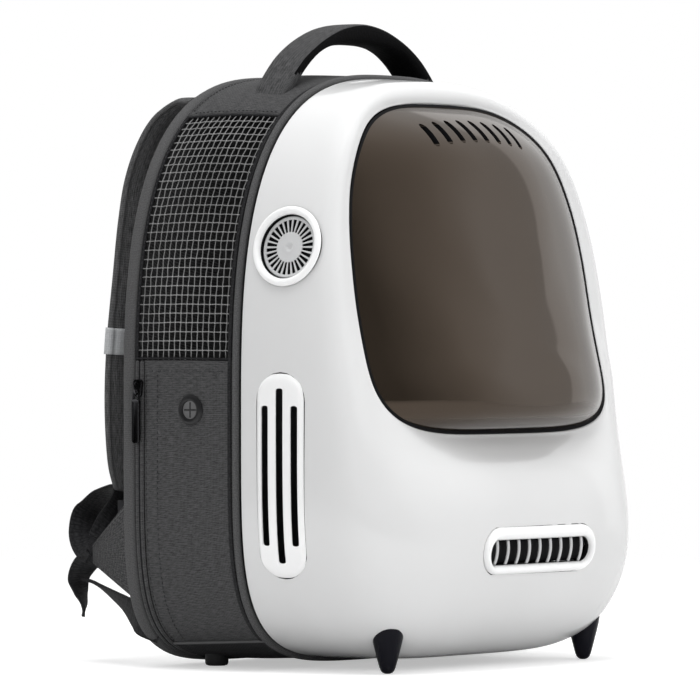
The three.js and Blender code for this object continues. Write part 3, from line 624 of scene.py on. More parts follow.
def pillSolid(width, height, depth, arc=24):  # a standing pill along Y, centred
    bm = bmesh.new()
    bmesh.ops.create_circle(bm, cap_ends=True, segments=arc, radius=min(width, height) / 2)
    for vert in bm.verts:
        if width > height:
            vert.co.x += math.copysign((width - height) / 2, vert.co.x)
        else:
            vert.co.y += math.copysign((height - width) / 2, vert.co.y)
    bmesh.ops.rotate(bm, verts=bm.verts, matrix=Matrix.Rotation(math.pi / 2, 3, "X"))
    bmesh.ops.translate(bm, verts=bm.verts, vec=(0, -depth / 2, 0))
    out = bmesh.ops.extrude_face_region(bm, geom=list(bm.faces))["geom"]
    bmesh.ops.translate(bm, verts=[g for g in out if isinstance(g, bmesh.types.BMVert)], vec=(0, depth, 0))
    bmesh.ops.recalc_face_normals(bm, faces=bm.faces)
    return bm


def cutter(bm, matrix):
    bmesh.ops.transform(bm, matrix=matrix, verts=bm.verts)
    return meshObject(bm, "cutter")


fan = {"y": -32, "z": 285.5, "hole": 26.8, "slots": 28, "slotFrom": 10.4, "slotTo": 18.9,
       "slotBetween": (0.2, 0.8), "recess": 3, "discThick": 1, "paintedShadeBelow": -0.9, "behind": -50}
sideVent = {"y": -32.4, "z": 132.4, "width": 38.6, "height": 137, "hole": -0.6}
grille = {"z": 81, "width": 125, "height": 32, "openWidth": 114, "openHeight": 16.6, "drop": 1.2,
          "hole": -0.5}
cutReach = {"fan": 40, "plate": 60, "sideAt": -160, "frontAt": -125}  # depths and places of the cutters


def fanSeat():  # square on the left wall
    spot, normal = onLeftWall(fan["y"], fan["z"])
    turn = normal.to_track_quat("Z", "Y").to_matrix().to_4x4()
    return Matrix.Translation(spot) @ turn


def shellCutters():
    seat = fanSeat()
    side = Matrix.Translation((cutReach["sideAt"], sideVent["y"], sideVent["z"]))
    side = side @ Matrix.Rotation(math.pi / 2, 4, "Z")
    hole = {key: sideVent[key] - 2 * sideVent["hole"] for key in ("width", "height")}
    made = []
    for mirror in (Matrix.Identity(4), Matrix.Scale(-1, 4, (1, 0, 0))):
        disc = bmesh.new()
        bmesh.ops.create_cone(disc, cap_ends=True, segments=64, radius1=fan["hole"], radius2=fan["hole"],
                              depth=cutReach["fan"])
        plate = pillSolid(hole["width"], hole["height"], cutReach["plate"])
        for bm, place in ((disc, seat), (plate, side)):
            bmesh.ops.transform(bm, matrix=mirror @ place, verts=bm.verts)
            bmesh.ops.recalc_face_normals(bm, faces=bm.faces)
            made.append(meshObject(bm, "cutter"))
    width, height = grille["width"] - 2 * grille["hole"], grille["height"] - 2 * grille["hole"]
    front = Matrix.Translation((0, cutReach["frontAt"], grille["z"]))
    made.append(cutter(pillSolid(width, height, cutReach["plate"]), front))
    return made


shell = meshObject(shellBm, "shell", whiteGloss, shadeBlack)
# The inner faces take the near-black finish: painted shade for the dark inside
addModifier(shell, "SOLIDIFY", thickness=shellForm["thick"] * mm, offset=-1, use_even_offset=True,
            material_offset=1)
cutWith(shell, *shellCutters())
sharpen(shell)
dress(shell, "white_plastic", "shell")
print("shell made:", len(shell.data.polygons), "faces")


# The smoked bubble window

bubble = {
    "cells": 96, "gap": 0.4, "shadeLine": 1.7, "shadeLineRings": 2, "crown": 34, "thick": 4.4, "calm": 0.5, "heart": 2,
    "sideRound": 2.7, "topRound": 9, "bottomRound": 10, "edgeBias": 1.35, "inside": 250,
    "lean": (99, 66, 8),  # forward at the foot, and how that falls off with height
    "slots": 8, "slotPitch": 13.6, "slotWidth": 5.7, "slotHeight": 15.6, "slotZ": 365, "slotDrop": 0.0016,
    "slotReach": 90, "slotSides": 16, "slotZone": (60, 345),  # half width and foot of where the slots lie
}
windowEdge = grown(rimRing, -bubble["gap"])
domeEdge = grown(windowEdge, -bubble["shadeLine"])


def bubblePoint(far, angle):  # 0 in the middle, 1 where the near-black painted shade line begins, 2 at the rim
    x, z = ringPoint(domeEdge, angle)
    if far > 1:
        outX, outZ = ringPoint(windowEdge, angle)
        x, z = lerp(x, outX, far - 1), lerp(z, outZ, far - 1)
        return Vector((x, -rimForward(z), z))
    x, z = x * far, lerp(domeEdge["widest"], z, far)
    outline, reach = ringParts(domeEdge, math.sin(angle))
    across, up = abs(x) / domeEdge["halfWidth"], abs(z - domeEdge["widest"]) / reach
    power = lerp(bubble["heart"], outline, far * far)  # rings grow rounder towards the middle
    ring = min((across ** power + up ** power) ** (1 / power), 1)
    end = bubble["topRound"] if math.sin(angle) >= 0 else bubble["bottomRound"]
    upright = up * up / (across * across + up * up + 1e-9)
    steep = lerp(bubble["sideRound"], end, upright * upright)
    calm = min((1 - ring) / bubble["calm"], 1)
    calm = calm * calm * (3 - 2 * calm)
    share = (z - rimHeights[0][0]) / (rimHeights[-1][0] - rimHeights[0][0])
    foot, fall, ease = bubble["lean"]
    even = foot - fall * share + ease * share * share  # the rim's lean without its waves
    return Vector((x, -lerp(rimForward(z), even, calm) - bubble["crown"] * (1 - ring ** steep), z))


def onShadeLine(at):
    outline, reach = ringParts(domeEdge, at.z - domeEdge["widest"])
    across, up = at.x / domeEdge["halfWidth"], (at.z - domeEdge["widest"]) / reach
    return abs(across) ** outline + abs(up) ** outline > 1


def bubbleSurface(b):
    cells = b["cells"]
    around, length = arcAngles(rimRing, -0.75 * math.pi, 1.25 * math.pi, shares(4 * cells))
    domeRings = cells // 2 - b["shadeLineRings"]

    def place(u, v):  # square rings of the grid become rings of the window
        x, y = 2 * u - 1, 2 * v - 1
        far = max(abs(x), abs(y))
        if far < 1e-6:
            return bubblePoint(0, 0)
        if y <= -far + 1e-9:
            step = (x / far + 1) / 2
        elif x >= far - 1e-9:
            step = 1 + (y / far + 1) / 2
        elif y >= far - 1e-9:
            step = 2 + (1 - x / far) / 2
        else:
            step = 3 + (1 - y / far) / 2
        spot = step * cells
        low = min(int(spot), 4 * cells - 1)
        first, second = around[low], around[low + 1]
        if second < first:
            second += 2 * math.pi
        ring = round(far * cells / 2)
        if ring > domeRings:
            out = 1 + (ring - domeRings) / b["shadeLineRings"]
        else:
            out = 1 - (1 - ring / domeRings) ** b["edgeBias"]  # finer cells towards the edge
        return bubblePoint(out, lerp(first, second, spot - low))

    bm = shapedGrid(cells, cells, place, (length / 4, length / 4))
    # The ring past the dome's edge takes the near-black finish: painted shade along the dome's foot
    for face in bm.faces:
        face.material_index = int(onShadeLine(face.calc_center_median()))
    return bm


def bubbleCutters(b):
    made = []
    for i in range(b["slots"]):
        x = (i - (b["slots"] - 1) / 2) * b["slotPitch"]
        z = b["slotZ"] - b["slotDrop"] * x * x
        slot = pillSolid(b["slotWidth"], b["slotHeight"], b["slotReach"], b["slotSides"])
        made.append(cutter(slot, Matrix.Translation((x, -b["slotReach"], z))))
    return made


windowBm = faceOut(bubbleSurface(bubble), Vector((0, 0, bubble["inside"])))
window = meshObject(windowBm, "window", smokedPlastic, shadeBlack)
addModifier(window, "SOLIDIFY", thickness=bubble["thick"] * mm, offset=-1, use_even_offset=True)
cutWith(window, *bubbleCutters(bubble))
slotHalf, slotFoot = (size * mm for size in bubble["slotZone"])
for face in window.data.polygons:  # the slots' walls take the near-black finish: painted shade so the slots read dark
    if face.normal.x ** 2 > 0.7 and abs(face.center.x) < slotHalf and face.center.z > slotFoot:
        face.material_index = 1
sharpen(window, 26)
dress(window, "smoked_window", "window")
print("window made:", len(window.data.polygons), "faces")


# The fans, side vents and front grille

fanForm = {
    "ring": [  # radius and height off the wall
        (0, -5.6), (21.9, -5.6), (21.9, -0.8), (22.2, 0.4), (22.9, 1.4), (24.1, 2), (25.6, 2), (26.7, 1.5),
        (27.3, 0.5), (27.4, -0.4), (26.2, -1.6), (26, -6.4), (0, -6.4),
    ],
    "disc": [(0, -1), (1.3, -1), (2.2, -0.3), (3, 0.3), (3.8, 0.3), (4.6, 0), (7, 0.1), (9.6, 0),
             (fan["slotFrom"], 0), (fan["slotTo"], 0), (20, 0), (20.6, 0.3), (21.4, -0.5)],
    "turns": 168,
}


def fanRing(form):
    bm = spunProfile(form["ring"], form["turns"])  # closed behind; the back and the walls below the lip take the near-black finish as painted shade
    for face in bm.faces:
        face.material_index = int(face.calc_center_median().z < fan["paintedShadeBelow"])
    bmesh.ops.transform(bm, matrix=fanSeat(), verts=bm.verts)
    return bm


def fanDisc(form):
    bm = spunProfile([(radius, height - fan["recess"]) for radius, height in form["disc"]], form["turns"])
    pitch = 2 * math.pi / fan["slots"]
    first, last = fan["slotBetween"]  # shares of the way round to the next slot
    cut = []
    for face in bm.faces:
        at = face.calc_center_median()
        between = (math.atan2(at.y, at.x) / pitch) % 1
        if fan["slotFrom"] < at.xy.length < fan["slotTo"] and first < between < last:
            cut.append(face)
    bmesh.ops.delete(bm, geom=cut, context="FACES")
    faceOut(bm, Vector((0, 0, fan["behind"])))
    bmesh.ops.transform(bm, matrix=fanSeat(), verts=bm.verts)
    return bm


for piece in makePair(fanRing(fanForm), "fan_ring", "white_plastic", brightTrim, shadeBlack):
    sharpen(piece, 50)
for piece in makePair(fanDisc(fanForm), "fan_grille", "grey_plastic", greyPlastic):
    addModifier(piece, "SOLIDIFY", thickness=fan["discThick"] * mm, offset=-1)

ventForm = {
    "half": [2.6, 6.8, 9.4, 14.8, 16.6, 17.8, 18.9, 19.3],  # columns either side of the middle
    "upper": [0.2, 0.5, 0.68, 0.71, 0.76, 0.82, 0.85, 0.89, 0.95, 0.99, 1],  # rows over the middle, as shares
    "slots": {4: 0.71, 7: 0.85, 10: 0.71},  # column and how far up it runs
    "straight": 49.2, "cap": 19.3, "capRound": 2.4, "proud": 2.2, "edge": 4, "thick": 2,
    "outerColumn": 4, "outerSlot": 12.1, "slotEdges": (9, 15),  # the outer slots' column, middle and sides
}


def bothWays(places):
    return [-place for place in reversed(places)] + places


def ventPlate(form):
    columns, rows = bothWays(form["half"]), bothWays(form["upper"])

    def topAt(y):
        across = abs(y / columns[-1]) ** form["capRound"]
        return form["straight"] + form["cap"] * (1 - across) ** (1 / form["capRound"])

    def place(u, v):
        y, t = columns[round(u * (len(columns) - 1))], rows[round(v * (len(rows) - 1))]
        half = columns[-1]
        top = topAt(y)
        inner, outer = form["slotEdges"]
        if inner < abs(y) < outer:  # keeps the ends of the outer slots level
            reach = form["slots"][form["outerColumn"]]
            past = max(abs(t) - reach, 0) / (1 - reach)
            top = lerp(topAt(form["outerSlot"]), top, past)
        near = min(half - abs(y), (1 - abs(t)) * top, form["edge"]) / form["edge"]
        spot, normal = onLeftWall(sideVent["y"] + y, sideVent["z"] + t * top)
        return spot + normal * form["proud"] * math.sin(near * math.pi / 2)

    def keep(column, row):
        t = (rows[int(row)] + rows[int(row) + 1]) / 2
        return abs(t) > form["slots"].get(int(column), -1)

    bm = shapedGrid(len(columns) - 1, len(rows) - 1, place, keep=keep)
    return faceOut(bm, Vector((0, sideVent["y"], sideVent["z"])))


for piece in makePair(ventPlate(ventForm), "side_vent", "white_plastic", brightTrim):
    addModifier(piece, "SOLIDIFY", thickness=ventForm["thick"] * mm, offset=-1)
    subdivide(piece, 3)

grilleForm = {
    "section": [  # share of the way from the outer edge to the opening, and height off the shell
        (0, -1.5), (0, 0.4), (0.05, 1.4), (0.14, 2.5), (0.28, 3.4), (0.46, 3.9), (0.62, 3.8), (0.8, 3),
        (0.92, 1.9), (1, 0.4), (1, -3.6),
    ],
    "perSide": 26, "perArc": 22, "paintedShadeFrom": 0.9, "wall": 0.8,
    "backCells": (40, 8), "backDepth": 3.8, "backGap": 0.8, "backWall": 1.5,
    "slats": 9, "slatCells": (10, 14), "slatPitch": 12, "slatHalf": 1.35, "slatThick": 1.8, "slatLow": -1.2,
    "slatBow": 1.2,
}


def pillLoop(halfWidth, halfHeight, perSide, perArc):
    flat = halfWidth - halfHeight
    points = [(lerp(-flat, flat, i / perSide), -halfHeight) for i in range(perSide)]
    turns = [math.pi * (i / perArc - 0.5) for i in range(perArc)]
    points += [(flat + halfHeight * math.cos(t), halfHeight * math.sin(t)) for t in turns]
    return points + [(-x, -y) for x, y in points]


def grilleFrame(form):
    outer = pillLoop(grille["width"] / 2, grille["height"] / 2, form["perSide"], form["perArc"])
    inner = pillLoop(grille["openWidth"] / 2, grille["openHeight"] / 2, form["perSide"], form["perArc"])

    def place(u, v):
        i = round(u * len(outer)) % len(outer)
        share, height = form["section"][round(v * (len(form["section"]) - 1))]
        x = lerp(outer[i][0], inner[i][0], share)
        z = lerp(outer[i][1], inner[i][1] - grille["drop"], share)
        spot, normal = onFront(x, grille["z"] + z)
        return spot + normal * height

    bm = shapedGrid(len(outer), len(form["section"]) - 1, place, (1, 1 / mm), wrap=True)
    across = bm.loops.layers.uv.active
    # The wall down into the opening takes the near-black finish: painted shade in the recess
    for face in bm.faces:
        middle = sum(loop[across].uv.y for loop in face.loops) / len(face.loops)
        face.material_index = int(middle > form["paintedShadeFrom"])
    return faceOut(bm, Vector((0, 0, grille["z"])))


def openHalf(x):  # half height of the grille's opening
    radius = grille["openHeight"] / 2
    past = max(abs(x) - grille["openWidth"] / 2 + radius, 0)
    return math.sqrt(max(radius ** 2 - past ** 2, 0))


def grilleBack(form):
    def place(u, v):
        x = lerp(-0.5, 0.5, u) * (grille["openWidth"] - form["backGap"])
        spot, normal = onFront(x, grille["z"] - grille["drop"] + (2 * v - 1) * openHalf(x))
        return spot - normal * form["backDepth"]

    return faceOut(shapedGrid(*form["backCells"], place), Vector((0, 0, grille["z"])))


def grilleSlats(form):
    bm = bmesh.new()
    for i in range(form["slats"]):
        middle = (i - (form["slats"] - 1) / 2) * form["slatPitch"]

        def place(u, v):
            turn = 2 * math.pi * u
            along = 2 * v - 1
            x = middle + form["slatHalf"] * math.cos(turn)
            spot, normal = onFront(x, grille["z"] - grille["drop"] + along * openHalf(middle))
            bow = form["slatLow"] + form["slatBow"] * (1 - along ** 2)
            return spot + normal * (bow + form["slatThick"] * math.sin(turn) / 2)

        addTo(bm, closeEnds(shapedGrid(*form["slatCells"], place, wrap=True)))
    return bm


grilleRing = meshObject(grilleFrame(grilleForm), "grille_frame", brightTrim, shadeBlack)
dress(grilleRing, "white_plastic", "grille_frame")
addModifier(grilleRing, "SOLIDIFY", thickness=grilleForm["wall"] * mm, offset=-1)
subdivide(grilleRing, 2)
# The louvre is dark plastic, given the near-black finish so the recess behind the opening also carries
# painted shade
louvre = meshObject(grilleBack(grilleForm), "grille_louvre", shadeBlack)
dress(louvre, "dark_plastic", "grille_louvre")
addModifier(louvre, "SOLIDIFY", thickness=grilleForm["backWall"] * mm, offset=-1)
dress(meshObject(grilleSlats(grilleForm), "grille_slats", greyPlastic), "grey_plastic")
print("fans, vents and grille made")


# Feet

feet = {
    "front": [(0, 0), (1.6, 0.1), (3.2, 0.7), (4.5, 2), (5.5, 4.4), (6.9, 9.4), (8.4, 15.2), (9.8, 20.6),
              (10.9, 25.4), (11.6, 29.6), (11.4, 33), (0, 34)],  # radius and height
    "frontAt": (-111.6, -82.4), "sides": 56,
    "rear": [(0, 0), (5.6, 0), (7.2, 0.5), (7.9, 1.6), (8, 3), (8, 12), (0, 12)],
    "rearAt": (-105, 70),
}
for name, slot, finish in (("front", "black_gloss", blackGloss), ("rear", "black_rubber", blackRubber)):
    footBm = spunProfile(feet[name], feet["sides"])
    bmesh.ops.translate(footBm, verts=footBm.verts, vec=(*feet[name + "At"], 0))
    for piece in makePair(footBm, f"foot_{name}", slot, finish):
        sharpen(piece, 50)
print("feet made")


# Cloth of the back half

cloth = {"wall": 3, "front": 7.6, "back": 91.1, "zipFront": 83, "bulge": 2, "flare": 1.5, "sideFrom": 20.5,
         "netFrom": 209, "netTo": 374, "seam": math.radians(0.06), "puff": 1.1, "wrinkle": 0.5,
         "wrinkleScale": 0.028, "squaring": 0.65, "drop": 2.8, "zipGap": 0.4,
         "topCells": (90, 28), "sideCells": (70, 28), "baseCells": (90, 24)}
bodyMiddle = Vector((0, 45, 200))


def clothRing(y, lift=0):
    share = y / cloth["back"]
    out = cloth["bulge"] * math.sin(math.pi * min(share, 1)) + cloth["flare"] * share + lift
    ring = grown(seamRing, out)
    ring["bottom"] = seamRing["bottom"] - cloth["drop"] * share - lift
    ring["baseRound"] = seamRing["baseRound"] + cloth["squaring"] * share
    return ring


def clothPoint(angle, y, lift=0):
    x, z = ringPoint(clothRing(y, lift), angle)
    return Vector((x, y, z))


seamAt = {"base": leftAngle(seamRing, cloth["sideFrom"]), "netFoot": leftAngle(seamRing, cloth["netFrom"]),
          "netHead": leftAngle(seamRing, cloth["netTo"])}


def cutSheet(piece, wide, long, held, *supports, share=1, trim=()):  # the cloth's size before it was sewn on
    list(trim)
    print(piece.name, "is cut", round(wide), "by", round(long), "mm")


def softPanel(start, end, front, back, columns, rows):
    angles, length = arcAngles(seamRing, start, end, shares(columns))

    def place(u, v):
        full = math.sqrt(math.sin(math.pi * u) * math.sin(math.pi * v) + 1e-9)
        spot = clothPoint(angles[round(u * columns)], lerp(front, back, v))
        crease = noise.noise(spot * cloth["wrinkleScale"]) * cloth["wrinkle"]
        return clothPoint(angles[round(u * columns)], lerp(front, back, v), full * (cloth["puff"] + crease))

    cut = (length, back - front)
    return faceOut(shapedGrid(columns, rows, place, cut), bodyMiddle), cut


def thicken(obj, thick=cloth["wall"]):
    # The inner side takes the near-black finish: painted shade for the dark inside of the bag
    obj.data.materials.append(shadeBlack)
    addModifier(obj, "SOLIDIFY", thickness=thick * mm, offset=-1, material_offset=1)
    return obj


sideBack = cloth["zipFront"] - cloth["zipGap"]
topBm, topCut = softPanel(math.pi - seamAt["netHead"] + cloth["seam"], seamAt["netHead"] - cloth["seam"],
                          cloth["front"], cloth["back"], *cloth["topCells"])
clothTop = thicken(dress(meshObject(topBm, "cloth_top", charcoalCloth), "charcoal_cloth", "cloth_top"))
cutSheet(clothTop, *topCut, "stretched", "shell", "back_panel")
sideBm, sideCut = softPanel(seamAt["netFoot"] + cloth["seam"], seamAt["base"] - cloth["seam"],
                            cloth["front"], sideBack, *cloth["sideCells"])
for piece in makePair(sideBm, "cloth_side", "charcoal_cloth", charcoalCloth):
    cutSheet(thicken(piece), *sideCut, "stretched", "shell", "back_panel")
baseBm, baseCut = softPanel(seamAt["base"] + cloth["seam"], 3 * math.pi - seamAt["base"] - cloth["seam"],
                            cloth["front"], sideBack, *cloth["baseCells"])
clothBase = thicken(dress(meshObject(baseBm, "cloth_base", darkCloth), "dark_cloth", "cloth_base"))
cutSheet(clothBase, *baseCut, "stretched", "shell", "back_panel")

piping = {"y": 4.3, "thick": 2.2, "high": 2.8, "columns": 260, "sides": 14, "girth": 19}


def roundCord(form):
    angles, length = arcAngles(seamRing, -math.pi / 2, 1.5 * math.pi, shares(form["columns"]))

    def place(u, v):
        turn = 2 * math.pi * v
        high = form["high"] * math.sin(turn)
        depth = form["y"] + form["thick"] * math.cos(turn)
        return clothPoint(angles[round(u * form["columns"])], depth, high)

    bm = shapedGrid(form["columns"], form["sides"], place, (length, form["girth"]), wrap=True)
    bmesh.ops.recalc_face_normals(bm, faces=bm.faces)
    return bm


dress(meshObject(roundCord(piping), "piping_front", pipingCloth), "dark_cloth", "piping_front")
baseSeam = {"radius": 1.1, "lift": 0.4, "steps": 40}
baseDepths = [lerp(cloth["front"], sideBack, t) for t in shares(baseSeam["steps"])]
baseLine = [clothPoint(seamAt["base"], depth, baseSeam["lift"]) for depth in baseDepths]
makePair(roundBar(baseLine, baseSeam["radius"]), "base_seam", "dark_cloth", pipingCloth, replaced=False)
# A near-black webbing strip just behind the piping: painted shade where the piping shades the cloth
pipingShade = {"columns": 260, "wide": 4, "thick": 0.5,
            "section": [(7.8, 0.2), (8.2, 0.75), (10.4, 0.75), (10.9, 0.2)]}  # depth and height off the cloth


def edgeStrip(form):
    angles, length = arcAngles(seamRing, -math.pi / 2, 1.5 * math.pi, shares(form["columns"]))

    def place(u, v):
        depth, lift = form["section"][round(v * (len(form["section"]) - 1))]
        return clothPoint(angles[round(u * form["columns"])], depth, lift)

    bm = shapedGrid(form["columns"], len(form["section"]) - 1, place, (length, form["wide"]), wrap=True)
    return faceOut(bm, bodyMiddle)


edgePiece = dress(meshObject(edgeStrip(pipingShade), "piping_shade_strip", webbingCloth), "dark_cloth")
addModifier(edgePiece, "SOLIDIFY", thickness=pipingShade["thick"] * mm, offset=-1)
print("cloth panels and piping made")

net = {"across": 17, "along": 29, "margin": 0.8, "radius": 0.4, "sides": 6, "weave": 0.3, "depth": 0.9,
       "jitter": 0.32, "jitterScale": 0.09, "seed": 5, "knot": 0.72, "cover": 0.47,
       "bindingCells": (46, 26), "border": 2.2, "rimAlong": 1.2, "bindingLift": 0.2, "bindingWall": 1.8}
noise.seed_set(net["seed"])  # the same jitter each run


def netArc(places):  # angles down the net, and its length
    start, end = seamAt["netHead"] + cloth["seam"], seamAt["netFoot"] - cloth["seam"]
    return arcAngles(seamRing, start, end, places)


def netThreads(n):
    angles = netArc(shares(2 * n["along"]))[0]
    front, back = cloth["front"] + n["margin"], cloth["back"] - n["margin"]

    def knot(i, j, over):  # places in half cells along and across the net
        spot = clothPoint(angles[i], lerp(front, back, j / (2 * n["across"])), over * n["weave"] - n["depth"])
        return spot + noise.noise_vector(spot * n["jitterScale"]) * n["jitter"]

    bm = bmesh.new()
    for i in range(2, 2 * n["along"], 2):
        line = [knot(i, j, math.cos(math.pi * (i + j) / 2)) for j in range(2 * n["across"] + 1)]
        addTo(bm, roundBar(line, n["radius"], n["sides"]))
    for j in range(2, 2 * n["across"], 2):
        line = [knot(i, j, -math.cos(math.pi * (i + j) / 2)) for i in range(2 * n["along"] + 1)]
        addTo(bm, roundBar(line, n["radius"], n["sides"]))
    threads = len(bm.faces)
    for i in range(2, 2 * n["along"], 2):
        for j in range(2, 2 * n["across"], 2):
            seat = Matrix.Translation(knot(i, j, 0))
            bmesh.ops.create_icosphere(bm, subdivisions=1, radius=n["knot"], matrix=seat)
    bm.faces.ensure_lookup_table()
    # The knots take the paler finish: painted highlight
    for face in bm.faces[threads:]:
        face.material_index = 1
    return bm


def netBinding(n):
    columns, rows = n["bindingCells"]
    length = netArc((0, 1))[1]
    rim = n["rimAlong"] / length
    places = [0, rim, *(lerp(rim, 1 - rim, t) for t in shares(columns - 2)[1:-1]), 1 - rim, 1]
    angles = netArc(places)[0]
    depth = cloth["back"] - cloth["front"]

    def place(u, v):
        hem = n["border"] / depth
        across = {0: 0, 1: hem, rows - 1: 1 - hem}.get(round(v * rows), v)
        return clothPoint(angles[round(u * columns)], cloth["front"] + across * depth, n["bindingLift"])

    def keep(column, row):
        return not (1 < column < columns - 1 and 1 < row < rows - 1)

    return faceOut(shapedGrid(columns, rows, place, (length, depth), keep=keep), bodyMiddle)


netCut = (netArc((0, 1))[1], cloth["back"] - cloth["front"])
netPair = makePair(netThreads(net), "mesh", "net_thread", netThread, knotHighlight)
bindingPair = makePair(netBinding(net), "net_binding", "dark_cloth", darkCloth, replaced=False)
for piece, binding in zip(netPair, bindingPair):
    thicken(binding, net["bindingWall"])
    cutSheet(piece, *netCut, "stretched", "shell", "back_panel", share=net["cover"], trim=[binding])
print("nets made")


# The zip down the back edge, with its slider and pull

zipForm = {
    "columns": 240,
    "section": [  # depth and height of the two lips
        (83, -0.4), (83.2, 0.4), (84.2, 0.9), (85.6, 0.9), (86.4, 0.5), (86.6, -0.3), (87, 0.2),
        (87.4, -0.3), (87.6, 0.5), (88.4, 0.9), (89.8, 0.9), (90.8, 0.4), (91.1, -0.4),
    ],
    "wide": 8, "wall": 2.4, "groove": 1,
}


def zipTape(form):
    start, end = seamAt["netFoot"] + cloth["seam"], 3 * math.pi - seamAt["netFoot"] - cloth["seam"]
    angles, length = arcAngles(seamRing, start, end, shares(form["columns"]))

    def place(u, v):
        depth, lift = form["section"][round(v * (len(form["section"]) - 1))]
        return clothPoint(angles[round(u * form["columns"])], depth, lift)

    bm = shapedGrid(form["columns"], len(form["section"]) - 1, place, (length, form["wide"]))
    faceOut(bm, bodyMiddle)
    for face in bm.faces:
        face.material_index = int(abs(face.calc_center_median().y - zipDepth) < form["groove"])
    return bm


zipper = dress(meshObject(zipTape(zipForm), "zip_tape", charcoalCloth, darkCloth), "dark_cloth", "zip_tape")
subdivide(thicken(zipper, zipForm["wall"]), 1)

slider = {"y": zipDepth, "z": 190, "gap": 0.4, "thick": 2.4, "noseHalf": 4, "tailHalf": 3, "length": 12,
          "corner": 2.2, "bevel": 0.35, "bailReach": 4, "bailClear": 2.75, "bailRoot": 0.4, "bailWire": 0.62,
          "bailRound": 0.6, "bailSteps": 18}
zipFace = clothPoint(math.pi, zipDepth).x - slider["gap"]


def edgesAlongX(bm):
    return [edge for edge in bm.edges if abs((edge.verts[0].co - edge.verts[1].co).x) > 1]


def zipSlider(s):
    bm = bmesh.new()
    bmesh.ops.create_cube(bm, size=1)
    bmesh.ops.scale(bm, vec=(s["thick"], 2 * s["noseHalf"], s["length"]), verts=bm.verts)
    for vert in bm.verts:
        if vert.co.z < 0:
            vert.co.y *= s["tailHalf"] / s["noseHalf"]
    bmesh.ops.bevel(bm, geom=edgesAlongX(bm), offset=s["corner"], affect="EDGES", segments=4, profile=0.5,
                    material=-1)
    bmesh.ops.bevel(bm, geom=bm.edges[:], offset=s["bevel"], affect="EDGES", segments=2, profile=0.5,
                    material=-1)
    bmesh.ops.translate(bm, verts=bm.verts, vec=(-s["thick"] / 2, 0, 0))
    foot, rise = s["bailRoot"] - s["thick"], s["bailClear"] + s["bailRoot"]
    arch = []
    for t in shares(s["bailSteps"]):
        out = max(math.sin(math.pi * t), 0) ** s["bailRound"]
        arch.append(Vector((foot - rise * out, 0, s["bailReach"] * math.cos(math.pi * t))))
    addTo(bm, roundBar(arch, s["bailWire"]))
    bmesh.ops.translate(bm, verts=bm.verts, vec=(zipFace, s["y"], s["z"]))
    return bm


pull = {"pin": 0.75, "loopHalf": 2.4, "loopBend": 1.2, "loopDrop": 7, "wide": 6.2, "from": 5.6,
        "length": 35.5, "thick": 1.9, "corner": 2.2, "inset": 1.3, "sink": 0.5, "bevel": 0.25}


def zipPull(p):
    half, bend = p["loopHalf"], p["loopBend"]
    side = [(half - bend, 0), (half, -bend), (half, -p["loopDrop"])]
    loop = [(-y, z) for y, z in reversed(side)] + side
    bm = roundBar([Vector((0, y, z)) for y, z in loop], p["pin"])
    tab = bmesh.new()
    bmesh.ops.create_cube(tab, size=1)
    bmesh.ops.scale(tab, vec=(p["thick"], p["wide"], p["length"] - p["from"]), verts=tab.verts)
    bmesh.ops.bevel(tab, geom=edgesAlongX(tab), offset=p["corner"], affect="EDGES", segments=5, profile=0.5,
                    material=-1)
    wide = [face for face in tab.faces if abs(face.normal.x) > 0.9]
    bmesh.ops.inset_individual(tab, faces=wide, thickness=p["inset"], depth=-p["sink"])
    bmesh.ops.translate(tab, verts=tab.verts, vec=(0, 0, -(p["length"] + p["from"]) / 2))
    addTo(bm, tab)
    bmesh.ops.translate(bm, verts=bm.verts, vec=pullPivot)
    return bm


sliderPiece = dress(meshObject(zipSlider(slider), "zip_slider", darkMetal), "dark_metal", "zip_slider")
sharpen(sliderPiece, 45)
pullPiece = dress(meshObject(zipPull(pull), "zip_pull", darkMetal), "dark_metal", "zip_pull", body="zip_pull")
addModifier(pullPiece, "BEVEL", width=pull["bevel"] * mm, segments=2, limit_method="ANGLE",
            angle_limit=math.radians(50))
sharpen(pullPiece, 45)

grommet = {
    "y": 41, "z": 175.7, "gap": 0.3, "spread": 1.04, "steps": 48,
    "slit": 10.6, "slitWidth": 1.3, "slitDepth": 2.4, "slitAt": 1, "discRadius": 6, "discHeight": 0.8,
    "profile": [(0, 0.9), (5.2, 0.9), (5.8, 1.2), (6.2, 2.2), (7.2, 2.7), (8.4, 2.5), (9.5, 1.5), (10, 0.6),
                (9.8, -0.4), (0, -0.4)],  # radius and height off the cloth
}


def grommetSeat(g):
    wall = clothPoint(math.pi, g["y"]).x - g["gap"]
    return Matrix.Translation((wall, g["y"], g["z"])) @ Matrix.Rotation(-math.pi / 2, 4, "Y")


grommetBm = spunProfile(grommet["profile"], grommet["steps"])
bmesh.ops.scale(grommetBm, vec=(grommet["spread"], grommet["spread"], 1), verts=grommetBm.verts)
bmesh.ops.transform(grommetBm, matrix=grommetSeat(grommet), verts=grommetBm.verts)
port = meshObject(grommetBm, "grommet", blackRubber, paleRubber)
slits = []
for turn in (0, math.pi / 2):
    slitBm = pillSolid(grommet["slit"], grommet["slitWidth"], grommet["slitDepth"])
    level = Matrix.Rotation(turn, 4, "Z") @ Matrix.Rotation(math.pi / 2, 4, "X")
    sunk = Matrix.Translation((0, 0, grommet["slitAt"]))
    slits.append(cutter(slitBm, grommetSeat(grommet) @ sunk @ level))
cutWith(port, *slits)
toSeat = (toFrame @ grommetSeat(grommet)).inverted()
for face in port.data.polygons:  # the cross is cut into a paler disc
    spot = toSeat @ face.center
    face.material_index = int(spot.xy.length < grommet["discRadius"] and spot.z > grommet["discHeight"])
sharpen(port, 40)
dress(port, "black_rubber", "grommet")
print("zip, pull and grommet made")


# Padded back, handle and straps

swelling = {"pressure": 30, "mass": 0.002, "frames": 20, "strapCap": 2.6, "backCap": 5}


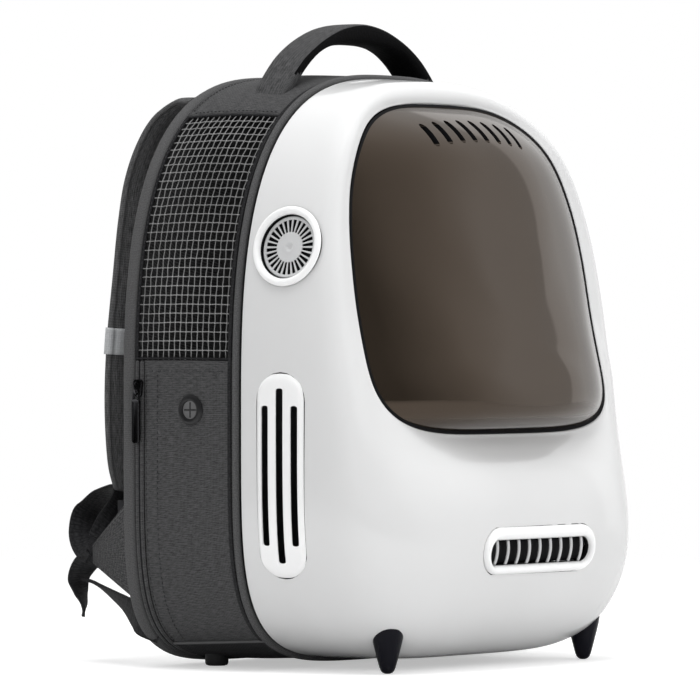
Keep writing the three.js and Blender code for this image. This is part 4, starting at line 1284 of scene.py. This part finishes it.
def swell(obj, s, cap):  # a short cloth simulation blows a pad up between its seams
    held = [i for i, point in enumerate(obj.data.attributes["sewn"].data) if point.value > 0.5]
    group = obj.vertex_groups.new(name="sewn")
    group.add(held, 1, "REPLACE")
    before = [vert.co.copy() for vert in obj.data.vertices]
    blown = addModifier(obj, "CLOTH")
    blown.settings.vertex_group_mass = group.name
    blown.settings.mass = s["mass"]
    blown.settings.use_pressure = True
    blown.settings.uniform_pressure_force = s["pressure"]
    blown.settings.effector_weights.gravity = 0
    blown.collision_settings.use_collision = False
    for step in range(1, s["frames"] + 1):
        bpy.context.scene.frame_set(step)
    applyModifiers(obj)
    bpy.context.scene.frame_set(1)
    obj.vertex_groups.clear()
    far = 0
    for vert, was in zip(obj.data.vertices, before):
        move = vert.co - was
        far = max(far, move.length)
        vert.co = was + move * min(1, cap * mm / max(move.length, 1e-9))
    print(obj.name, "swelled by", round(far / mm, 1), "mm before its cap")


backForm = {
    "edge": [  # inset and depth
        (8, 91.5), (2.5, 91.5), (0.5, 92), (-1, 93.6), (-1.7, 96.2), (-1.6, 98.6), (-0.8, 100.6),
        (0.8, 101.9), (2.6, 102.2), (2.4, 103), (4, 103.7), (7, 104.4), (14, 105.2), (19, 105.4),
        (21, 104.6), (23, 105.4), (30, 106.6),
    ],
    "columns": 176, "across": 22, "middle": 200, "crown": 3, "crease": 0.6, "creaseScale": 0.02,
    "uvRise": 200, "welt": (91.8, 102.1), "fill": 0.5,
}


def backPad(form):
    angles, length = arcAngles(seamRing, -math.pi / 2, 1.5 * math.pi, shares(form["columns"]))
    edge = form["edge"]
    rows = len(edge) - 1 + form["across"]

    def place(u, v):
        angle, step = angles[round(u * form["columns"])], round(v * rows)
        if step < len(edge):
            inset, depth = edge[step]
            return clothPoint(angle, depth, -inset)
        inset, depth = edge[-1]
        share = (step - len(edge) + 1) / form["across"]
        rim = clothPoint(angle, depth, -inset)
        spot = rim.lerp(Vector((0, depth, form["middle"])), share)
        crease = noise.noise(spot * form["creaseScale"]) * form["crease"] * min(4 * share, 1)
        spot.y += form["crown"] * math.sin(share * math.pi / 2) + crease
        return spot

    def sewn(u, v):
        return round(v * rows) < len(edge)

    size = (length, form["uvRise"])
    bm = closeEnds(shapedGrid(form["columns"], rows, place, size, wrap=True, sewn=sewn))
    for face in bm.faces:
        face.material_index = int(form["welt"][0] < face.calc_center_median().y < form["welt"][1])
    return bm


backPanel = meshObject(backPad(backForm), "back_panel", charcoalCloth, pipingCloth)
dress(backPanel, "charcoal_cloth", "back_panel")
swell(backPanel, swelling, swelling["backCap"])

# Sections of bands, in shares of the half width and the thickness
paddedSection = [(1, -0.1), (1, 0.1), (0.96, 0.2), (0.92, 0.16), (0.87, 0.3), (0.76, 0.42), (0.6, 0.47),
                 (0.44, 0.5), (0.3, 0.5), (0.15, 0.5), (0, 0.5)]
paddedSection += [(-across, up) for across, up in reversed(paddedSection[:-1])]
paddedSection += [(across, -up) for across, up in reversed(paddedSection[2:-2])]
handleTop = [(1, 0.1), (1, 0.3), (0.94, 0.45), (0.84, 0.5), (0.42, 0.52), (0, 0.52)]
handleUnder = [(0, -0.53), (0.52, -0.48), (0.8, -0.34), (0.94, -0.14)]
handleSection = handleTop + [(-across, up) for across, up in reversed(handleTop[:-1])]
handleSection += [(-across, up) for across, up in reversed(handleUnder[1:])] + handleUnder
flatSection = [(1, -0.3), (1, 0.3), (0.94, 0.5), (0, 0.5), (-0.94, 0.5), (-1, 0.3), (-1, -0.3), (-0.94, -0.5),
               (0, -0.5), (0.94, -0.5)]


def bandAt(rows, axis, place):  # the path's point, its width and thickness directions
    x, y, z, wide, thick, turn = tableAt(rows, place)
    before, after = (tableAt(rows, min(max(place + step, 0), 1))[:3] for step in (-0.005, 0.005))
    ahead = (Vector(after) - Vector(before)).normalized()
    across = (axis - ahead * axis.dot(ahead)).normalized()
    across.rotate(Matrix.Rotation(math.radians(turn), 3, ahead))
    return Vector((x, y, z)), across * wide, ahead.cross(across) * thick


def bandLength(rows, between=(0, 1)):
    spots = [Vector(tableAt(rows, lerp(*between, t))[:3]) for t in shares(60)]
    return sum((b - a).length for a, b in zip(spots, spots[1:]))


def band(rows, section, axis, steps, between=(0, 1), grow=0, sewn=None):
    length = bandLength(rows, between)

    def place(u, v):
        spot, across, up = bandAt(rows, axis, lerp(*between, v))
        side, high = section[round(u * len(section)) % len(section)]
        out = across.normalized() * math.copysign(grow * (side != 0), side)
        out += up.normalized() * math.copysign(grow, high)
        return spot + across * side + up * high + out

    return shapedGrid(len(section), steps, place, (4 * rows[0][3], length), wrap=True, sewn=sewn)


alongX, alongY = Vector((1, 0, 0)), Vector((0, 1, 0))
handleForm = {"y": 37, "steps": 96, "heart": 370, "darkAbove": 404, "sideFacing": 0.55, "fill": 0.8}
handleArch = [  # distance from the middle, height, half width, thickness
    (92, 379, 13.5, 11), (80, 395, 14, 11), (65.5, 410.5, 14.5, 10), (51.5, 421, 15, 8.4),
    (36, 428.1, 15, 9.6), (19, 432.3, 15, 12.4), (0, 433.9, 15, 14.2),
]
handleRows = [(-x, handleForm["y"], z, wide, thick, 0) for x, z, wide, thick in handleArch]
handleRows += [(x, handleForm["y"], z, wide, thick, 0) for x, z, wide, thick in reversed(handleArch[:-1])]
handleBm = closeEnds(band(handleRows, handleSection, alongY, handleForm["steps"]))
for face in handleBm.faces:  # near-black cloth underneath and along the sides, down to the feet
    at = face.calc_center_median()
    under = face.normal.dot(at - Vector((0, handleForm["y"], handleForm["heart"]))) < 0
    aboveFoot = at.z > handleForm["darkAbove"] or at.y > handleForm["y"]
    face.material_index = int(aboveFoot and (under or abs(face.normal.y) > handleForm["sideFacing"]))
handle = dress(meshObject(handleBm, "handle", charcoalCloth, handleDarkSide), "charcoal_cloth", "handle")
subdivide(handle, 1)

strapRows = [  # centre, half width, thickness, turn
    (-66, 107.5, 386, 28, 8, 0), (-68, 118, 384, 29, 9, 0), (-71, 131, 373, 30, 11, 0),
    (-75, 140, 356, 30, 13, 0), (-80, 145.5, 332, 31, 13.5, 0), (-85, 147.5, 303, 31, 14, 0),
    (-89, 149, 266, 31, 14, 0), (-92, 152, 220, 31, 14, 0), (-94, 153, 177, 30, 14, 0),
    (-97, 151.5, 138, 26, 12, 0), (-99, 149, 117, 20, 10, 0),
]
strapForm = {"steps": 120, "sewnSide": 0.9, "sewnEnd": 0.02, "fill": 0.7}
tape = {"from": 0.68, "to": 0.72, "margin": 0.01, "steps": 8, "gap": 0.2, "thick": 1, "round": 150,
        "inside": (-92, 152, 222)}


def strapSewn(u, v):  # along both edges, at the ends and under the tape
    side = paddedSection[round(u * len(paddedSection)) % len(paddedSection)][0]
    taped = tape["from"] - tape["margin"] < v < tape["to"] + tape["margin"]
    end = strapForm["sewnEnd"]
    return taped or abs(side) > strapForm["sewnSide"] or not end < v < 1 - end


strapBm = closeEnds(band(strapRows, paddedSection, alongX, strapForm["steps"], sewn=strapSewn))
for piece in makePair(strapBm, "strap", "dark_cloth", strapLitCloth):
    swell(piece, swelling, swelling["strapCap"])
    subdivide(piece, 1)
taped = (tape["from"], tape["to"])
tapeBm = band(strapRows, paddedSection, alongX, tape["steps"], taped, tape["gap"])
faceOut(tapeBm, Vector(tape["inside"]))
tapeWidth = bandLength(strapRows, taped)
for piece in makePair(tapeBm, "reflector", "reflective_tape", reflectiveTape):
    addModifier(piece, "SOLIDIFY", thickness=tape["thick"] * mm, offset=1)
    cutSheet(piece, tapeWidth, tape["round"], "stretched", piece.name.replace("reflector", "strap"))
print("back, handle and straps made")


# Strap ends: buckles, webbing, tails and tabs

buckle = {
    "x": -100, "y": 147, "z": 102, "thick": 5, "bow": 0.004, "inside": 30,
    "columns": [-17, -16.4, -14, -13, 0, 13, 14, 16.4, 17],
    "rows": [-10, -9.4, -7.6, -7, -3, -2.2, 0, 2.2, 3, 7, 7.6, 9.4, 10],
    "openColumns": (3, 5), "openRows": ((3, 4), (8, 9)),  # cells left out for the webbing
}


def ladderBuckle(b):
    columns, rows = b["columns"], b["rows"]

    def place(u, v):
        x, z = columns[round(u * (len(columns) - 1))], rows[round(v * (len(rows) - 1))]
        return Vector((b["x"] + x, b["y"] - b["thick"] / 2 - b["bow"] * x * x, b["z"] + z))

    def keep(column, row):
        first, last = b["openColumns"]
        inSlot = any(low < row < high for low, high in b["openRows"])
        return not (first < column < last and inSlot)

    bm = shapedGrid(len(columns) - 1, len(rows) - 1, place, keep=keep)
    return faceOut(bm, Vector((b["x"], b["y"] + b["inside"], b["z"])))


for piece in makePair(ladderBuckle(buckle), "buckle", "dark_plastic", darkPlastic):
    addModifier(piece, "SOLIDIFY", thickness=buckle["thick"] * mm, offset=-1)
    subdivide(piece, 2)

# Bands of webbing, a row for each turn: centre, half width, thickness, turn
webbingRows = [
    (-100, 152, 122, 13, 2, 0), (-101, 161, 121, 13, 2, 0), (-104, 174, 115, 13, 2, 0),
    (-108, 182, 103, 13, 2, 5), (-116, 177, 89.5, 13, 2, 25), (-125, 167, 80.5, 12, 2, 55),
    (-131, 159, 76, 9, 2, 80),
]
innerRows = [
    (-101, 155, 120, 12, 2, 0), (-104, 156, 110, 12, 2, 0), (-112, 157, 97, 12, 2, 15),
    (-124, 157, 84, 10, 2, 45),
]
tailRows = [
    (-140, 90, 26, 11, 3, 85), (-147, 102, 31, 11, 3, 75), (-144, 112, 36, 11, 2.5, 66),
    (-138, 128, 43, 9, 2, 50), (-130, 147, 49, 8, 2, 35), (-124, 162, 54, 7, 2, 20),
    (-121, 172, 56, 6, 2, 10),
]
hangRows = [
    (-130, 159, 73, 7, 2, 60), (-124, 172, 67, 9, 2, 30), (-121, 180, 57, 10, 2, 5),
    (-120, 179, 47, 10, 2, -15), (-119, 177, 39, 8, 2, -30), (-119, 178, 31, 4, 2, -45),
]
bandSteps = 44

strapEnds = {"webbing": (webbingRows, innerRows), "tail": (tailRows, hangRows)}
for name, bands in strapEnds.items():
    endBm = bmesh.new()
    for rows in bands:
        addTo(endBm, closeEnds(band(rows, flatSection, alongX, bandSteps)))
    long = sum(bandLength(rows) for rows in bands)
    wide = 2 * max(row[3] for row in bands[0])
    share = sum(row[3] for rows in bands for row in rows) * 2 / wide / sum(len(rows) for rows in bands)
    for piece, side in zip(makePair(endBm, name, "webbing_cloth", webbingCloth), ("right", "left")):
        sharpen(piece, 60)
        cutSheet(piece, wide, long, "hung", f"strap_{side}", f"tab_{side}", share=share)

tab = {
    "rootTop": (-157, 104.5), "rootLow": (-150.5, 101.5), "top": 113, "bottom": 45,
    "apexX": -133, "apexY": 156, "apex": 75, "apexHeight": 12, "cells": (20, 18),
    "thick": 2.6, "hem": 0.7, "hemFrom": 0.8, "crown": 1.2, "facing": (-0.91, -0.41, 0),
    "inside": (0, 200, 80), "deep": 58, "cut": 0.6,
}


def anchorTab(t):
    tip = Vector((t["apexX"], t["apexY"], 0))

    def place(u, v):
        low = lerp(t["bottom"], t["apex"] - t["apexHeight"] / 2, u)
        high = lerp(t["top"], t["apex"] + t["apexHeight"] / 2, u)
        spot = Vector((*t["rootLow"], 0)).lerp(Vector((*t["rootTop"], 0)), v).lerp(tip, u)
        spot.z = lerp(low, high, v)
        hem = t["hem"] * (abs(2 * v - 1) > t["hemFrom"])
        out = hem + t["crown"] * math.sin(math.pi * u) * math.sin(math.pi * v)
        return spot + Vector(t["facing"]) * out

    bm = shapedGrid(*t["cells"], place, (t["deep"], t["top"] - t["bottom"]))
    return faceOut(bm, Vector(t["inside"]))


for piece in makePair(anchorTab(tab), "tab", "webbing_cloth", coarseCloth):
    addModifier(piece, "SOLIDIFY", thickness=tab["thick"] * mm, offset=0)
    cutSheet(piece, tab["deep"], tab["top"] - tab["bottom"], "stretched", "back_panel", share=tab["cut"])
print("strap ends made")


# Stitches along the seams

stitch = {"pitch": 3.4, "long": 2.3, "wide": 0.62, "high": 0.4, "clear": 0.02}


def sewLine(bm, spots, normals, s):
    for i in range(1, len(spots) - 1):
        ahead = (spots[i + 1] - spots[i - 1]).normalized()
        side = ahead.cross(normals[i]).normalized()
        turn = Matrix((ahead, side, ahead.cross(side))).transposed().to_4x4()
        size = Matrix.Diagonal((s["long"] / 2, s["wide"] / 2, s["high"], 1))
        place = Matrix.Translation(spots[i]) @ turn @ size
        bmesh.ops.create_icosphere(bm, subdivisions=1, radius=1, matrix=place)


def sewRound(bm, start, end, depth, lift, s):  # along the outline at one depth
    length = arcAngles(seamRing, start, end, (0, 1))[1]
    angles = arcAngles(seamRing, start, end, shares(max(int(length / s["pitch"]), 3)))[0]
    spots = [clothPoint(angle, depth, lift) for angle in angles]
    outs = [clothPoint(angle, depth, lift + 1) - spot for angle, spot in zip(angles, spots)]
    sewLine(bm, spots, outs, s)


def sewAcross(bm, angle, front, back, lift, s):  # from front to back at one place on the outline
    count = int((back - front) / s["pitch"])
    spots = [clothPoint(angle, lerp(front, back, t), lift) for t in shares(count)]
    outs = [clothPoint(angle, spot.y, lift + 1) - spot for spot in spots]
    sewLine(bm, spots, outs, s)


clear = stitch["clear"]
overNet, underNet = seamAt["netHead"] - clear, seamAt["netFoot"] + clear
besideNet = (seamAt["netHead"] + clear, seamAt["netFoot"] - clear)
downSide, overTop = (underNet, seamAt["base"] - clear / 2), (math.pi / 2, overNet)
roundRows = [  # stretch of the outline, depth, height off the cloth
    (downSide, 80.6, 0.35), (downSide, 70, 0.95), (downSide, 10.6, 0.4),
    (besideNet, cloth["back"] - 1.6, 0.3), (overTop, cloth["back"] - 2.6, 0.45), (overTop, 10.6, 0.4),
]
crossRows = [(underNet, 12, 79, 0.35), (overNet, 12, 88, 0.45)]  # place, front, back, height off the cloth
seamBm = bmesh.new()
for stretch, depth, lift in roundRows:
    sewRound(seamBm, *stretch, depth, lift, stitch)
for row in crossRows:
    sewAcross(seamBm, *row, stitch)
makePair(seamBm, "seam_stitches", "dark_cloth", seamThread, replaced=False)
print("stitches made")
